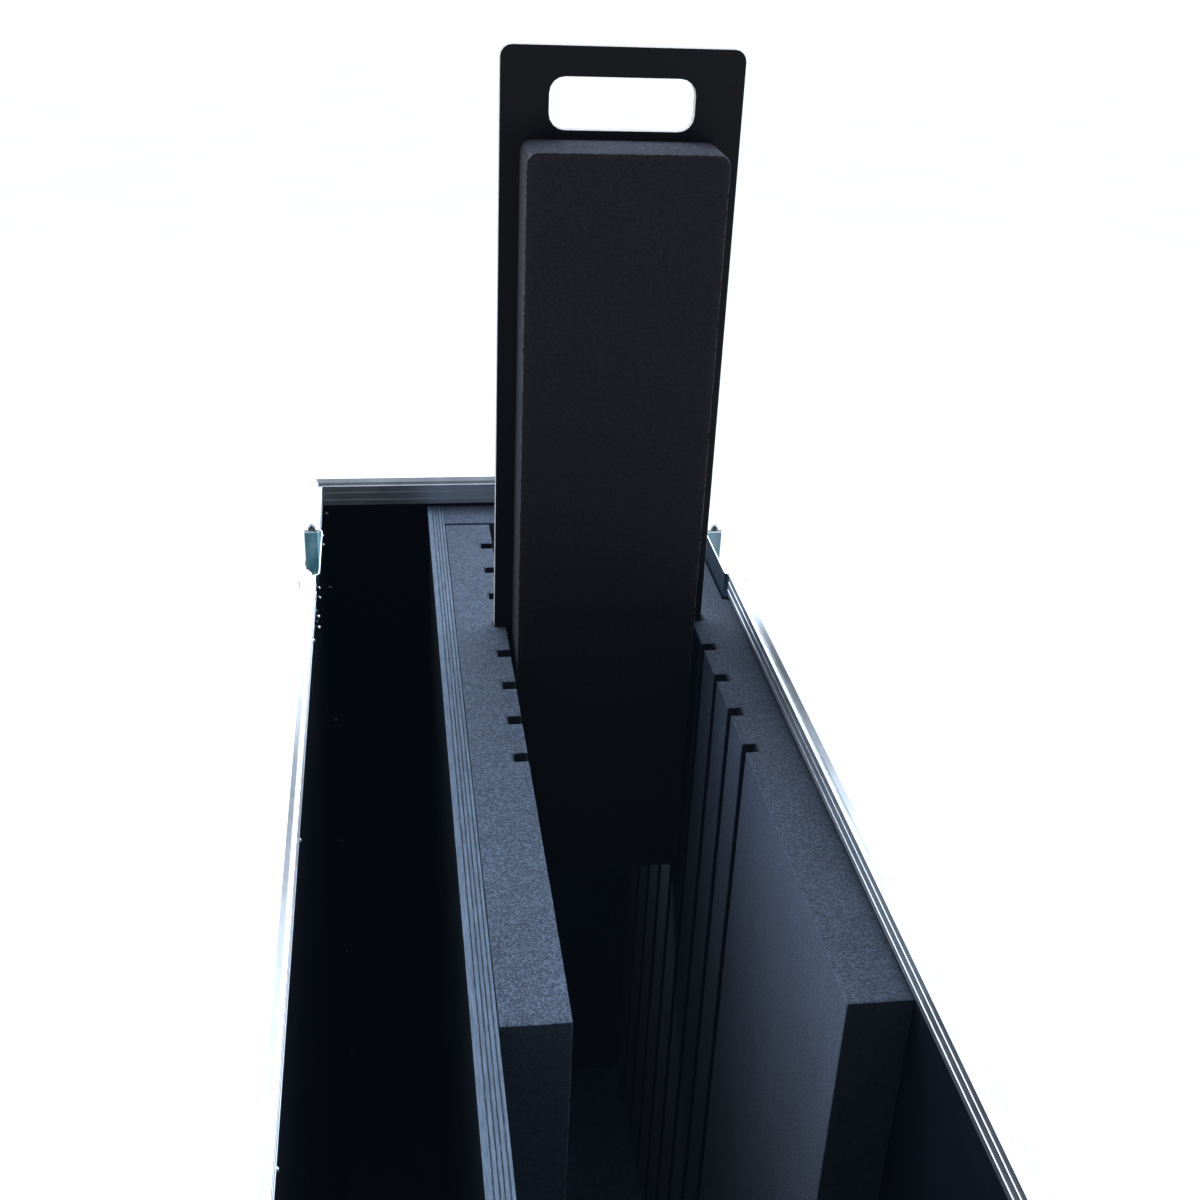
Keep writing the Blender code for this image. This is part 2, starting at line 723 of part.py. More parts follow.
def slotted_outline(back, face):
    """The plan of a side foam, with its slots cut into the face."""
    inwards = SLOT_DEPTH if back > face else -SLOT_DEPTH
    points = [(back, SIDE_FOAM_NEAR_END), (back, SIDE_FOAM_FAR_END), (face, SIDE_FOAM_FAR_END)]
    for index in range(SLOT_COUNT):
        middle = SLOT_FAR_CENTRE - index * SLOT_PITCH
        points += [
            (face, middle + SLOT_WIDTH / 2),
            (face + inwards, middle + SLOT_WIDTH / 2),
            (face + inwards, middle - SLOT_WIDTH / 2),
            (face, middle - SLOT_WIDTH / 2),
        ]
    points.append((face, SIDE_FOAM_NEAR_END))
    return points


def make_side_foams():
    """The two slotted foams. The right one has a pocket for the latch dish behind it."""
    bottom = FLOOR_TOP + CLEARANCE
    ground = plane_at((0, 0, bottom), (1, 0, 0), (0, 1, 0))
    height = LINING_TOP - bottom
    left_plan = slotted_outline(BAY_WALL_RIGHT + CLEARANCE, LEFT_FOAM_FACE)
    right_plan = slotted_outline(INNER_WIDTH / 2 - CLEARANCE, RIGHT_FOAM_FACE)
    piece("left_foam", prism(left_plan, ground, height), "foam")
    right = piece("right_foam", prism(right_plan, ground, height), "foam")
    pocket_half = DISH_WIDTH / 2 + FOAM_POCKET_PLAY
    pocket_back = DISH_BACK - FOAM_POCKET_PLAY
    pocket_bottom = RIM_HEIGHT - DISH_HEIGHT - FOAM_POCKET_PLAY
    past_wall = INNER_WIDTH / 2 + OVERRUN
    pockets = box(
        (pocket_back, RIGHT_LATCH_PLACE - pocket_half, pocket_bottom),
        (past_wall, RIGHT_LATCH_PLACE + pocket_half, RIM_HEIGHT),
    )
    tail_half = RIVET_TAIL_RADIUS + FOAM_POCKET_PLAY
    tail_back = INNER_WIDTH / 2 - CLEARANCE - RIVET_TAIL_HEIGHT - FOAM_POCKET_PLAY
    for along, height in rivet_places(RIGHT_LATCH_PLACE):
        add_box(
            pockets,
            (tail_back, along - tail_half, height - tail_half),
            (past_wall, along + tail_half, height + tail_half),
        )
    cut(right, pockets)


def make_end_foams():
    """The foams at both ends of the screen bay, with pockets for the handle dishes."""
    left = BAY_WALL_RIGHT + CLEARANCE
    right = INNER_WIDTH / 2 - CLEARANCE
    for end in ("far", "near"):
        sign = end_sign(end)
        back = sign * (INNER_LENGTH / 2 - CLEARANCE)
        face = sign * FAR_FOAM_FACE
        foam = piece(
            f"{end}_foam",
            box(
                (left, min(back, face), FLOOR_TOP + CLEARANCE),
                (right, max(back, face), LINING_TOP),
            ),
            "foam",
        )
        cut(foam, pan_pocket(sign))


def make_floor_foam():
    """The strip under the screens, between the side foams."""
    bottom = FLOOR_TOP + CLEARANCE
    half_length = FAR_FOAM_FACE - CLEARANCE
    piece(
        "floor_foam",
        box(
            (LEFT_FOAM_FACE + CLEARANCE, -half_length, bottom),
            (RIGHT_FOAM_FACE - CLEARANCE, half_length, bottom + FLOOR_FOAM_THICKNESS),
        ),
        "foam",
    )


def make_divider():
    """The lift-out panel with its hand hole, and the pad on its near face."""
    middle = (PANEL_LEFT + PANEL_RIGHT) / 2
    origin = (middle, PANEL_SLOT_CENTRE, PANEL_BOTTOM)
    outline = rounded_outline(PANEL_LEFT, PANEL_BOTTOM, PANEL_RIGHT, PANEL_TOP, PANEL_CORNER_RADIUS)
    front = plane_at((0, PANEL_FRONT, 0), (1, 0, 0), (0, 0, 1))
    panel = piece("divider_panel", prism(outline, front, -PANEL_THICKNESS), "panel", origin)
    hole_top = PANEL_TOP - HAND_HOLE_DROP
    hole = rounded_outline(
        middle - HAND_HOLE_WIDTH / 2,
        hole_top - HAND_HOLE_HEIGHT,
        middle + HAND_HOLE_WIDTH / 2,
        hole_top,
        HAND_HOLE_RADIUS,
    )
    before = plane_at((0, PANEL_FRONT - OVERRUN, 0), (1, 0, 0), (0, 0, 1))
    cut(panel, prism(hole, before, -PANEL_THICKNESS - 2 * OVERRUN))
    pad_outline = rounded_outline(
        LEFT_FOAM_FACE + PAD_LEFT_GAP,
        PANEL_BOTTOM + PAD_BOTTOM_RISE,
        RIGHT_FOAM_FACE - PAD_RIGHT_GAP,
        PANEL_TOP - PAD_TOP_DROP,
        PAD_CORNER_RADIUS,
    )
    pad_back = plane_at((0, PANEL_FRONT - CLEARANCE, 0), (1, 0, 0), (0, 0, 1))
    piece("divider_pad", prism(pad_outline, pad_back, PAD_THICKNESS), "pad_foam", origin)


def dish_block(sign, latch_y, inset, open_top, open_side):
    """The pan of a latch dish, or with an inset the hollow in it."""
    half = DISH_WIDTH / 2 - inset
    back = DISH_BACK + inset
    bottom = RIM_HEIGHT - DISH_HEIGHT + inset
    low_x, high_x = sorted((sign * back, sign * (DISH_FLANGE_OUTER + open_side)))
    outwards = Vector((sign, 0, 0))
    upwards = Vector((0, 0, 1))

    def kept(face):
        face.normal_update()
        return max(face.normal.dot(outwards), face.normal.dot(upwards)) > FACING_SHARE

    return bevelled_block(
        (low_x, latch_y - half, bottom),
        (high_x, latch_y + half, RIM_HEIGHT + open_top),
        DISH_RADIUS - inset,
        kept,
    )


def rivet_profile():
    """A rivet from its tail inside the wall to its head on the flange."""
    tail = INNER_WIDTH / 2 - CLEARANCE
    return [
        (0, tail - RIVET_TAIL_HEIGHT),
        (RIVET_TAIL_RADIUS * RIVET_END_SHARE, tail - RIVET_TAIL_HEIGHT),
        (RIVET_TAIL_RADIUS, tail),
        (RIVET_RADIUS, tail),
        (RIVET_RADIUS, DISH_FLANGE_INNER + DISH_SHEET / 2),
        (RIVET_HEAD_RADIUS, DISH_FLANGE_OUTER - DISH_SHEET / 2),
        (RIVET_HEAD_RADIUS * RIVET_END_SHARE, DISH_FLANGE_OUTER + RIVET_HEAD_HEIGHT),
        (0, DISH_FLANGE_OUTER + RIVET_HEAD_HEIGHT),
    ]


def make_latch_dish(side, end, latch_y):
    """A pressed pan, open above and outside, riveted through the long wall."""
    sign = side_sign(side)
    dish = piece(f"latch_dish_{end}_{side}", dish_block(sign, latch_y, 0, 0, 0), "zinc", smooth=True)
    half_flange = DISH_FLANGE_WIDTH / 2
    low_x, high_x = sorted((sign * DISH_FLANGE_INNER, sign * DISH_FLANGE_OUTER))
    flange = box(
        (low_x, latch_y - half_flange, RIM_HEIGHT - DISH_FLANGE_HEIGHT),
        (high_x, latch_y + half_flange, RIM_HEIGHT),
    )
    join(dish, flange)
    cut(dish, dish_block(sign, latch_y, DISH_SHEET, OVERRUN, OVERRUN))
    rivets = bmesh.new()
    turn = Matrix.Rotation(math.radians(sign * 90), 4, "Y")
    for along, height in rivet_places(latch_y):
        place = Matrix.Translation((0, along, height)) @ turn
        add_turned(rivets, rivet_profile(), place, RIVET_SIDES)
    join(dish, rivets)


def make_keeper(side, end, latch_y):
    """The bent plate in a latch dish that the lid's hook pulls on."""
    sign = side_sign(side)
    back = DISH_BACK + DISH_SHEET + CLEARANCE
    top = RIM_HEIGHT - KEEPER_DROP
    outline = [
        (0, 0),
        (KEEPER_REACH, 0),
        (KEEPER_REACH, -KEEPER_LIP),
        (KEEPER_REACH - KEEPER_SHEET, -KEEPER_LIP),
        (KEEPER_REACH - KEEPER_SHEET, -KEEPER_SHEET),
        (KEEPER_SHEET, -KEEPER_SHEET),
        (KEEPER_SHEET, -KEEPER_HEIGHT),
        (0, -KEEPER_HEIGHT),
    ]
    start = latch_y + sign * KEEPER_WIDTH / 2
    plane = plane_at((sign * back, start, top), (sign, 0, 0), (0, 0, 1))
    piece(f"latch_keeper_{end}_{side}", prism(outline, plane, KEEPER_WIDTH), "zinc")


def make_handle_dish(end):
    """The pan and flange of an end handle, bored for the bail's pivots."""
    sign = end_sign(end)
    half = HANDLE_PAN_WIDTH / 2
    rise = HANDLE_PAN_HEIGHT / 2
    outwards = Vector((0, sign, 0))

    def kept(face):
        face.normal_update()
        return face.normal.dot(outwards) > FACING_SHARE

    def pan(inset, open_side):
        back = sign * (HANDLE_BACK + inset)
        front = sign * (HANDLE_FLANGE_OUTER + open_side)
        low_y, high_y = sorted((back, front))
        return bevelled_block(
            (-half + inset, low_y, HANDLE_CENTRE - rise + inset),
            (half - inset, high_y, HANDLE_CENTRE + rise - inset),
            HANDLE_RADIUS - inset,
            kept,
        )

    dish = piece(f"handle_dish_{end}", pan(0, 0), "zinc", smooth=True)
    flange_outline = rounded_outline(
        -HANDLE_FLANGE_WIDTH / 2,
        HANDLE_CENTRE - HANDLE_FLANGE_HEIGHT / 2,
        HANDLE_FLANGE_WIDTH / 2,
        HANDLE_CENTRE + HANDLE_FLANGE_HEIGHT / 2,
        HANDLE_RADIUS,
    )
    flange_plane = plane_at((0, sign * HANDLE_FLANGE_OUTER, 0), (1, 0, 0), (0, 0, 1))
    join(dish, prism(flange_outline, flange_plane, sign * HANDLE_SHEET))
    cut(dish, pan(HANDLE_SHEET, OVERRUN))
    bore = rod_profile(BAIL_ROD_RADIUS + CLEARANCE, -half - OVERRUN, half + OVERRUN)
    cut(dish, turned(bore, along_x((0, sign * BAIL_AXIS_OUT, BAIL_AXIS_HEIGHT)), ROD_SIDES))


def bail_path():
    """The bail's centre line from pivot end to pivot end, as X and drop below its axis."""
    pivot = HANDLE_PAN_WIDTH / 2
    arm = BAIL_GRIP_LENGTH / 2 + BAIL_BEND_RADIUS
    low_centre = (-arm + BAIL_BEND_RADIUS, -BAIL_DROP + BAIL_BEND_RADIUS)
    top_centre = (-arm - BAIL_ROD_RADIUS, -BAIL_ROD_RADIUS)
    low_bend = arc(low_centre, BAIL_BEND_RADIUS, 180, 270)
    top_bend = arc(top_centre, BAIL_ROD_RADIUS, 90, 0, ARC_STEPS - 1)
    left = [(-pivot, 0)] + top_bend + low_bend
    return left + [(-x, z) for x, z in reversed(left)]


def make_bail(end):
    """The swinging handle: a bent rod with a moulded grip, hanging in its dish."""
    sign = end_sign(end)
    origin = (0, sign * BAIL_AXIS_OUT, BAIL_AXIS_HEIGHT)
    curve = bpy.data.curves.new(f"handle_bail_{end}_line", "CURVE")
    curve.dimensions = "3D"
    curve.bevel_depth = BAIL_ROD_RADIUS
    curve.bevel_resolution = 1
    curve.use_fill_caps = True
    spline = curve.splines.new("POLY")
    path = bail_path()
    spline.points.add(len(path) - 1)
    for point, (x, z) in zip(spline.points, path):
        point.co = (x, 0, z, 1)
    line = bpy.data.objects.new(f"handle_bail_{end}_line", curve)
    rod = bmesh.new()
    rod.from_mesh(line.to_mesh())
    bmesh.ops.remove_doubles(rod, verts=rod.verts, dist=BAIL_ROD_RADIUS * MERGE_SHARE)
    bpy.data.objects.remove(line, do_unlink=True)
    bmesh.ops.translate(rod, verts=rod.verts, vec=origin)
    bail = piece(f"handle_bail_{end}", rod, "grip", origin, smooth=True)
    half_grip = BAIL_GRIP_LENGTH / 2
    grip = [
        (0, -half_grip),
        (BAIL_GRIP_RADIUS - BAIL_GRIP_EDGE, -half_grip),
        (BAIL_GRIP_RADIUS, -half_grip + BAIL_GRIP_EDGE),
        (BAIL_GRIP_RADIUS, half_grip - BAIL_GRIP_EDGE),
        (BAIL_GRIP_RADIUS - BAIL_GRIP_EDGE, half_grip),
        (0, half_grip),
    ]
    place = along_x((0, sign * BAIL_AXIS_OUT, BAIL_AXIS_HEIGHT - BAIL_DROP))
    join(bail, turned(grip, place, ROD_SIDES + 2))


def make_castor_board(end):
    """The board under the floor that a pair of castors bolts to."""
    sign = end_sign(end)
    half_width = OUTER_WIDTH / 2 + CLEARANCE + ANGLE_SHEET - ANGLE_LEG - CASTOR_BOARD_EDGE
    outer = sign * (OUTER_LENGTH / 2 + CLEARANCE + ANGLE_SHEET - ANGLE_LEG - CASTOR_BOARD_EDGE)
    inner = outer - sign * CASTOR_BOARD_LENGTH
    piece(
        f"castor_board_{end}",
        box(
            (-half_width, min(inner, outer), BOARD_BOTTOM),
            (half_width, max(inner, outer), BOARD_TOP),
        ),
        "laminate",
    )


def make_castor_plate(name, x, y):
    """The fixed plate, its four bolts and the upper race."""
    half_width = PLATE_WIDTH / 2
    half_length = PLATE_LENGTH / 2
    outline = rounded_outline(-half_width, -half_length, half_width, half_length, PLATE_RADIUS)
    plane = plane_at((x, y, PLATE_BOTTOM), (1, 0, 0), (0, 1, 0))
    shape = prism(outline, plane, PLATE_SHEET)
    plate = piece(f"castor_plate_{name}", shape, "castor_steel", (x, y, CASTOR_HEIGHT))
    race = [
        (0, -RACE_HEIGHT),
        (RACE_RADIUS - RACE_EDGE, -RACE_HEIGHT),
        (RACE_RADIUS, -RACE_HEIGHT + RACE_EDGE),
        (RACE_RADIUS, PLATE_SHEET / 2),
        (0, PLATE_SHEET / 2),
    ]
    join(plate, turned(race, plane, RACE_SIDES))
    heads = bmesh.new()
    head = rod_profile(BOLT_HEAD_RADIUS, -BOLT_HEAD_HEIGHT, PLATE_SHEET / 2)
    for across in (BOLT_EDGE - half_width, half_width - BOLT_EDGE):
        for along in (BOLT_EDGE - half_length, half_length - BOLT_EDGE):
            add_turned(heads, head, plane @ Matrix.Translation((across, along, 0)), BOLT_SIDES)
    join(plate, heads)


def leg_outline(y):
    """A fork leg seen from the side, from the crown down to the axle's boss."""
    boss = (y - CASTOR_TRAIL, WHEEL_RADIUS)
    half = FORK_LEG_TOP_WIDTH / 2
    top = [(y + half, CROWN_TOP), (y - half, CROWN_TOP)]
    return top + arc(boss, FORK_BOSS_RADIUS, 160, 330, 2 * ARC_STEPS)


def make_castor_fork(name, x, y):
    """The swivelling fork: crown, two legs and the axle with its nuts."""
    crown_bottom = CROWN_TOP - FORK_SHEET
    crown = [
        (0, CROWN_TOP),
        (FORK_CROWN_RADIUS, CROWN_TOP),
        (FORK_CROWN_RADIUS, crown_bottom),
        (0, crown_bottom),
    ]
    origin = (x, y, CROWN_TOP)
    shape = turned(crown, Matrix.Translation((x, y, 0)), RACE_SIDES)
    fork = piece(f"castor_fork_{name}", shape, "castor_steel", origin, smooth=True)
    for side in (-1, 1):
        low = x + min(side * LEG_INNER, side * (LEG_INNER + FORK_SHEET))
        join(fork, prism(leg_outline(y), plane_at((low, 0, 0), (0, 1, 0), (0, 0, 1)), FORK_SHEET))
    nut_out = LEG_INNER + FORK_SHEET + AXLE_NUT_HEIGHT
    nut_in = LEG_INNER + FORK_SHEET / 2
    axle = [
        (0, -nut_out),
        (AXLE_NUT_RADIUS, -nut_out),
        (AXLE_NUT_RADIUS, -nut_in),
        (AXLE_RADIUS, -nut_in),
        (AXLE_RADIUS, nut_in),
        (AXLE_NUT_RADIUS, nut_in),
        (AXLE_NUT_RADIUS, nut_out),
        (0, nut_out),
    ]
    join(fork, turned(axle, along_x((x, y - CASTOR_TRAIL, WHEEL_RADIUS)), BOLT_SIDES * 2))


def make_castor_wheel(name, x, y):
    """The wheel: a tread with eased edges, a recessed web and a bored hub."""
    half = WHEEL_WIDTH / 2
    hub_half = LEG_INNER - HUB_GAP
    web_half = half - WHEEL_WEB_RECESS
    bore = AXLE_RADIUS + CLEARANCE
    profile = [
        (bore, -hub_half),
        (WHEEL_HUB_RADIUS, -hub_half),
        (WHEEL_HUB_RADIUS, -web_half),
        (WHEEL_WEB_RADIUS, -web_half),
        (WHEEL_WEB_RADIUS, -half),
        (WHEEL_RADIUS - WHEEL_EDGE, -half),
        (WHEEL_RADIUS, -half + WHEEL_EDGE),
        (WHEEL_RADIUS, half - WHEEL_EDGE),
        (WHEEL_RADIUS - WHEEL_EDGE, half),
        (WHEEL_WEB_RADIUS, half),
        (WHEEL_WEB_RADIUS, web_half),
        (WHEEL_HUB_RADIUS, web_half),
        (WHEEL_HUB_RADIUS, hub_half),
        (bore, hub_half),
    ]
    origin = (x, y - CASTOR_TRAIL, WHEEL_RADIUS)
    shape = turned(profile, along_x(origin), WHEEL_SIDES)
    piece(f"castor_wheel_{name}", shape, "tread", origin, smooth=True)


def make_castors():
    for end in ("far", "near"):
        make_castor_board(end)
        for side in ("left", "right"):
            name = f"{end}_{side}"
            x = side_sign(side) * CASTOR_X
            y = end_sign(end) * CASTOR_Y
            make_castor_plate(name, x, y)
            make_castor_fork(name, x, y)
            make_castor_wheel(name, x, y)


def make_case():
    clear_scene()
    make_floor()
    make_bay_wall()
    make_side_foams()
    make_end_foams()
    make_floor_foam()
    make_divider()
    make_rim()
    make_corner_angles()
    make_bottom_angles()
    make_ball_corners()
    make_castors()
    for end in ("far", "near"):
        make_end_wall(end)
        make_handle_dish(end)
        make_bail(end)
    for side in ("left", "right"):
        make_long_wall(side)
        for end, latch_y in latch_y_places(side):
            make_latch_dish(side, end, latch_y)
            make_keeper(side, end, latch_y)


make_case()
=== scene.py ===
"""Looks of the screen flight case: finishes, cut foam, rivets, floor, light and camera.

Every piece is in metres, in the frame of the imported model: X across the case, Y along it
towards the slotted end, Z up from the ground. Colours are linear shares of red, green and blue.
"""

import math

import bmesh
import bpy
from mathutils import Matrix, Vector, noise


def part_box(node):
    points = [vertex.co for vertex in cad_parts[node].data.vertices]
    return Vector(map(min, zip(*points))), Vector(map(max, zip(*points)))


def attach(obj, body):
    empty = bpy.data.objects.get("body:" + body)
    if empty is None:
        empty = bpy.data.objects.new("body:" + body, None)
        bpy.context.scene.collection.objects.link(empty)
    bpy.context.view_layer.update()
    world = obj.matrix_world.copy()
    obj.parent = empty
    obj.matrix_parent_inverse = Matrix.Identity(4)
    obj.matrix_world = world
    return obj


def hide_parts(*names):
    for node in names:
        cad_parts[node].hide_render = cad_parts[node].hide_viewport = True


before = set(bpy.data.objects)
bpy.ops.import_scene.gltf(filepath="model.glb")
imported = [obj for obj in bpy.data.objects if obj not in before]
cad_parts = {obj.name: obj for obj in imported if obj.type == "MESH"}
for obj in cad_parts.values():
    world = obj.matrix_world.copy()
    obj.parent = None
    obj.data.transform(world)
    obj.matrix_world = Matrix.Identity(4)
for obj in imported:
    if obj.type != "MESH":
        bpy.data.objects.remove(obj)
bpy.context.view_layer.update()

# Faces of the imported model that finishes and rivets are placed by
RIM_LEDGE = 0.0020
RIM_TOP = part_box("left_wall")[1].z + RIM_LEDGE
WALL_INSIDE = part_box("right_wall")[0].x
DISH_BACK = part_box("latch_dish_far_right")[0].x

# Axes of a point, and the sign of X at each side and of Y at each end
ACROSS = 0
ALONG = 1
SIDES = (("left", -1), ("right", 1))
ENDS = (("far", 1), ("near", -1))

# Camera, as fitted to the edges of the case
CAMERA_PLACE = Vector((-0.1360, -0.7780, 1.7424))
CAMERA_YAW = 0.1588
CAMERA_PITCH = 0.4778
CAMERA_ROLL = 0.0469
CAMERA_CLIP = (0.01, 200.0)
LENS_MM = 44.2
SENSOR_MM = 36.0

# Sky: dim towards -Y and bright towards +Y, by how far a direction leans along Y
SKY_COLOUR = (0.84, 0.95, 1.10)
SKY_DIM = 0.16
SKY_BRIGHT = 2.8
SKY_DIM_UNTIL = -0.35
SKY_BRIGHT_FROM = 0.65

# Plain pale backdrop that is seen beyond the floor, and the floor
BACKDROP_COLOUR = (1.0, 1.0, 1.0)
FLOOR_HALF = 30.0
FLOOR_CELLS = 8
FLOOR_DARK = (0.92, 0.89, 0.86)
FLOOR_LIGHT = (0.95, 0.92, 0.89)

# Faint bluish haze of a view against the light, as shares of full brightness
HAZE = (0.0015, 0.0024, 0.0040)

# Soft lamp above and behind the case
LAMP_WIDTH = 3.0
LAMP_DEPTH = 2.0
LAMP_WATTS = 40.0
LAMP_PLACE = (-0.8, 3.2, 4.0)
LAMP_AIM = (0.0, 0.1, 0.9)

# Black film on the boards, and the pale wood of its chips along the top of the bay wall
FILM_DARK = (0.0053, 0.0084, 0.0130)
FILM_LIGHT = (0.0112, 0.0170, 0.0250)
CHIP_COLOUR = (0.150, 0.190, 0.245)
CHIP_HEIGHT = 0.0028

# Glue lines in the cut edge of plywood, as shares of its thickness: where they lie in the bay
# wall, half the width of a line without and with its blur, and the whole range of its waver
GLUE_LINE_SHARES = (0.30, 0.49, 0.66, 0.85)
GLUE_HALF = 0.016
GLUE_BLUR = 0.042
GLUE_WAVER = 0.018

# How dark the glue is beside the darker wood, and the plies of the castor boards
GLUE_SHADE = 0.16
BOARD_PLIES = 9

# Cut wood of the bay wall, of the castor boards and of the divider panel, and the panel's film
BAY_WOOD_DARK = (0.084, 0.118, 0.164)
BAY_WOOD_LIGHT = (0.162, 0.215, 0.288)
BOARD_WOOD_DARK = (0.30, 0.205, 0.12)
BOARD_WOOD_LIGHT = (0.42, 0.30, 0.185)
PANEL_WOOD_DARK = (0.50, 0.43, 0.38)
PANEL_WOOD_LIGHT = (0.78, 0.71, 0.66)
PANEL_FILM_DARK = (0.0058, 0.0040, 0.0040)
PANEL_FILM_LIGHT = (0.0122, 0.0080, 0.0072)

# Foam: colours where it is cut, along its fraying edges (on the pad a painted highlight) and on
# the pad's skin, and the painted light and shade of faces square to an axis
LINING_DARK = (0.022, 0.030, 0.046)
LINING_LIGHT = (0.090, 0.121, 0.178)
LINING_FRAYED = (0.207, 0.278, 0.409)
# Painted light and shade on the right foam by facing: a darker top, darker faces along Y and lighter,
# bluer faces along X
SIDE_PAINTED_SHADES = (
    ("Z", (0.66, 0.66, 0.66)),
    ("Y", (0.45, 0.45, 0.45)),
    ("X", (1.16, 1.21, 1.27)),
)
PAD_DARK = (0.010, 0.0105, 0.016)
PAD_LIGHT = (0.078, 0.077, 0.110)
# Painted highlight along the pad's rounded edges
PAD_EDGE_HIGHLIGHT = (0.46, 0.45, 0.48)
PAD_SKIN = (0.0245, 0.0208, 0.0225)
# Painted shade on the pad's sides that face along X
PAD_PAINTED_SHADES = (("X", (0.37, 0.36, 0.35)),)
PLAIN = (1.0, 1.0, 1.0)

# Metals
RIM_METAL = (0.82, 0.84, 0.87)
CASTOR_METAL = (0.60, 0.63, 0.66)
RIVET_METAL = (0.72, 0.73, 0.75)
ROD_METAL = (0.55, 0.58, 0.60)
ZINC_DARK = (0.13, 0.28, 0.33)
ZINC_MIDDLE = (0.20, 0.37, 0.41)
ZINC_LIGHT = (0.32, 0.47, 0.50)

# Latch dishes: how far past a face still counts as that face, the width of the flange beside
# the pan, and how far down from the top the painted highlight on the cut edge, the painted lit line and
# the painted shadow line reach
DISH_BACK_MARGIN = 0.0006
WALL_MARGIN = 0.0002
DISH_FLANGE = 0.0125
DISH_CUT_DROP = 0.0045
DISH_LIT_DROP = 0.0030
DISH_SHADOW_DROP = 0.0015

# Latch dishes: painted shade and light from the back outwards, then colours
DISH_DEPTH_PAINTED_SHADES = ((0.06, 0.50), (0.22, 1.15), (0.50, 1.05), (0.78, 0.55))
DISH_GREY = (0.20, 0.25, 0.30)
DISH_GREY_SHARE = 0.65
# Painted shade on the dishes' backs, darkest on the left
DISH_BACK_PAINTED_SHADES = {"left": (0.034, 0.040, 0.050), "right": (0.19, 0.25, 0.32)}
# Painted lit line, painted shadow line, and the cut top edges: partly bare steel, partly painted
# highlight
DISH_LIT = (0.80, 0.84, 0.88)
DISH_SHADOW = (0.015, 0.017, 0.020)
DISH_CUT_HIGHLIGHT = (0.93, 0.95, 0.96)

# Pulled tails of rivets: a stem in painted shade and a painted highlight at its end
TAIL_STEM = 0.0028
TAIL_STEM_SHADE = (0.035, 0.036, 0.040)
TAIL_TIP_HIGHLIGHT = (0.75, 0.76, 0.78)

# Castor wheels: where the core ends, as a share of the radius, and colours
CORE_SHARE = 0.735
TREAD_DARK = (0.018, 0.050, 0.135)
TREAD_LIGHT = (0.055, 0.095, 0.180)
CORE_DARK = (0.20, 0.21, 0.22)
CORE_LIGHT = (0.30, 0.31, 0.32)

# Handle bails: the moulded grip's half length with a margin, its height and colours
GRIP_HALF = 0.0434
GRIP_HEIGHT = 0.0150
GRIP_DARK = (0.010, 0.010, 0.011)
GRIP_LIGHT = (0.024, 0.024, 0.026)

# How far the sharp edges of each kind of node are eased, and the angle that counts as sharp
EASE_RIM = 0.0002
EASE_DISH = 0.00025
EASE_PRESSED = 0.0003
EASE_METAL = 0.0004
EASE_WALL = 0.0004
EASE_BOARD = 0.0006
EASED_ANGLE = math.radians(50)

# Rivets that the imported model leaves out. A profile is shares of the radius and of the height.
RIVET_RADIUS = 0.0042
RIVET_HEIGHT = 0.0016
TAIL_RADIUS = 0.0030
TAIL_HEIGHT = 0.0016
RIM_TAIL_RADIUS = 0.0022
RIVET_SIDES = 16
RIVET_SUNK = 0.0001
RIVET_PROFILE_SHARES = ((1.0, 0.0), (1.0, 0.30), (0.88, 0.62), (0.55, 0.90))
RIVET_SHARP_ANGLE = math.radians(50)

# Rivets of the corner angles: drops below the rim, and how far in from the outer corner
CORNER_RIVET_DROPS = (0.0355, 0.131, 0.316, 0.500, 0.685, 0.870)
CORNER_RIVET_INSET = 0.0168

# Rivets of the rim, of the latch dishes, of the ends, of the bottom angles, of the pressed
# corners and of the handle dishes
RIM_RIVET_DROP = 0.0210
RIM_RIVET_LAST = 0.4727
RIM_RIVET_COUNT = 4
DISH_RIVET_EDGE = 0.0065
DISH_RIVET_DROPS = (0.0110, 0.0220)
DISH_TAIL_RADIUS = 0.0024
DISH_TAIL_HEIGHT = 0.0045
END_RIVET_PLACES = (-0.100, 0.100)
BOTTOM_RIVET_DROP = 0.012
BOTTOM_RIVET_LAST = 0.700
BOTTOM_RIVET_COUNT = 8
PRESSED_RIVET_INSET = 0.018
PRESSED_FACE_X = 0.2261
PRESSED_FACE_Y = 0.8136
HANDLE_RIVET_INSET = 0.009

# Mesh of the foam: its spacing, the rounding of its cut edges and the depth of its unevenness
LINING_STEPS = (0.008, 0.008, 0.030)
PAD_STEPS = (0.006, 0.006, 0.006)
FOAM_EDGE = 0.0011
FOAM_EDGE_BAND = 0.0028
FOAM_EDGE_PROFILE = 0.6
FOAM_WAVE = 0.0006
FOAM_WAVE_SIZE = 0.060
FOAM_FRAY = 0.0007
FOAM_FRAY_SIZE = 0.005
WELD = 0.00001
FLAT_ANGLE = math.radians(1)
CUT_ANGLE = math.radians(40)
FOAM_SHARP_ANGLE = math.radians(60)

# Fraying along a rounded edge, which on the pad is a painted highlight: full on the ridge, slight
# on the two lines beside it. A point is on the ridge where no part of its normal is as large as the
# limit.
RIDGE_WORN_AND_LIT = 1.0
BESIDE_RIDGE_WORN_AND_LIT = 0.25
RIDGE_LIMIT = 0.9

# Inside of a slot, which gets painted shade: how far past its back, short of its mouth and short
# of the foam's ends a point may lie, and how squarely a slot's side faces along Y
SLOT_BACK_MARGIN = 1.2 * FOAM_EDGE
SLOT_MOUTH_MARGIN = 0.7 * FOAM_EDGE
FOAM_END_MARGIN = 2 * FOAM_EDGE
SLOT_SIDE_FACING = 0.6


def scaled(colour, share):
    """A colour made darker or lighter by a share."""
    return tuple(share * value for value in colour)


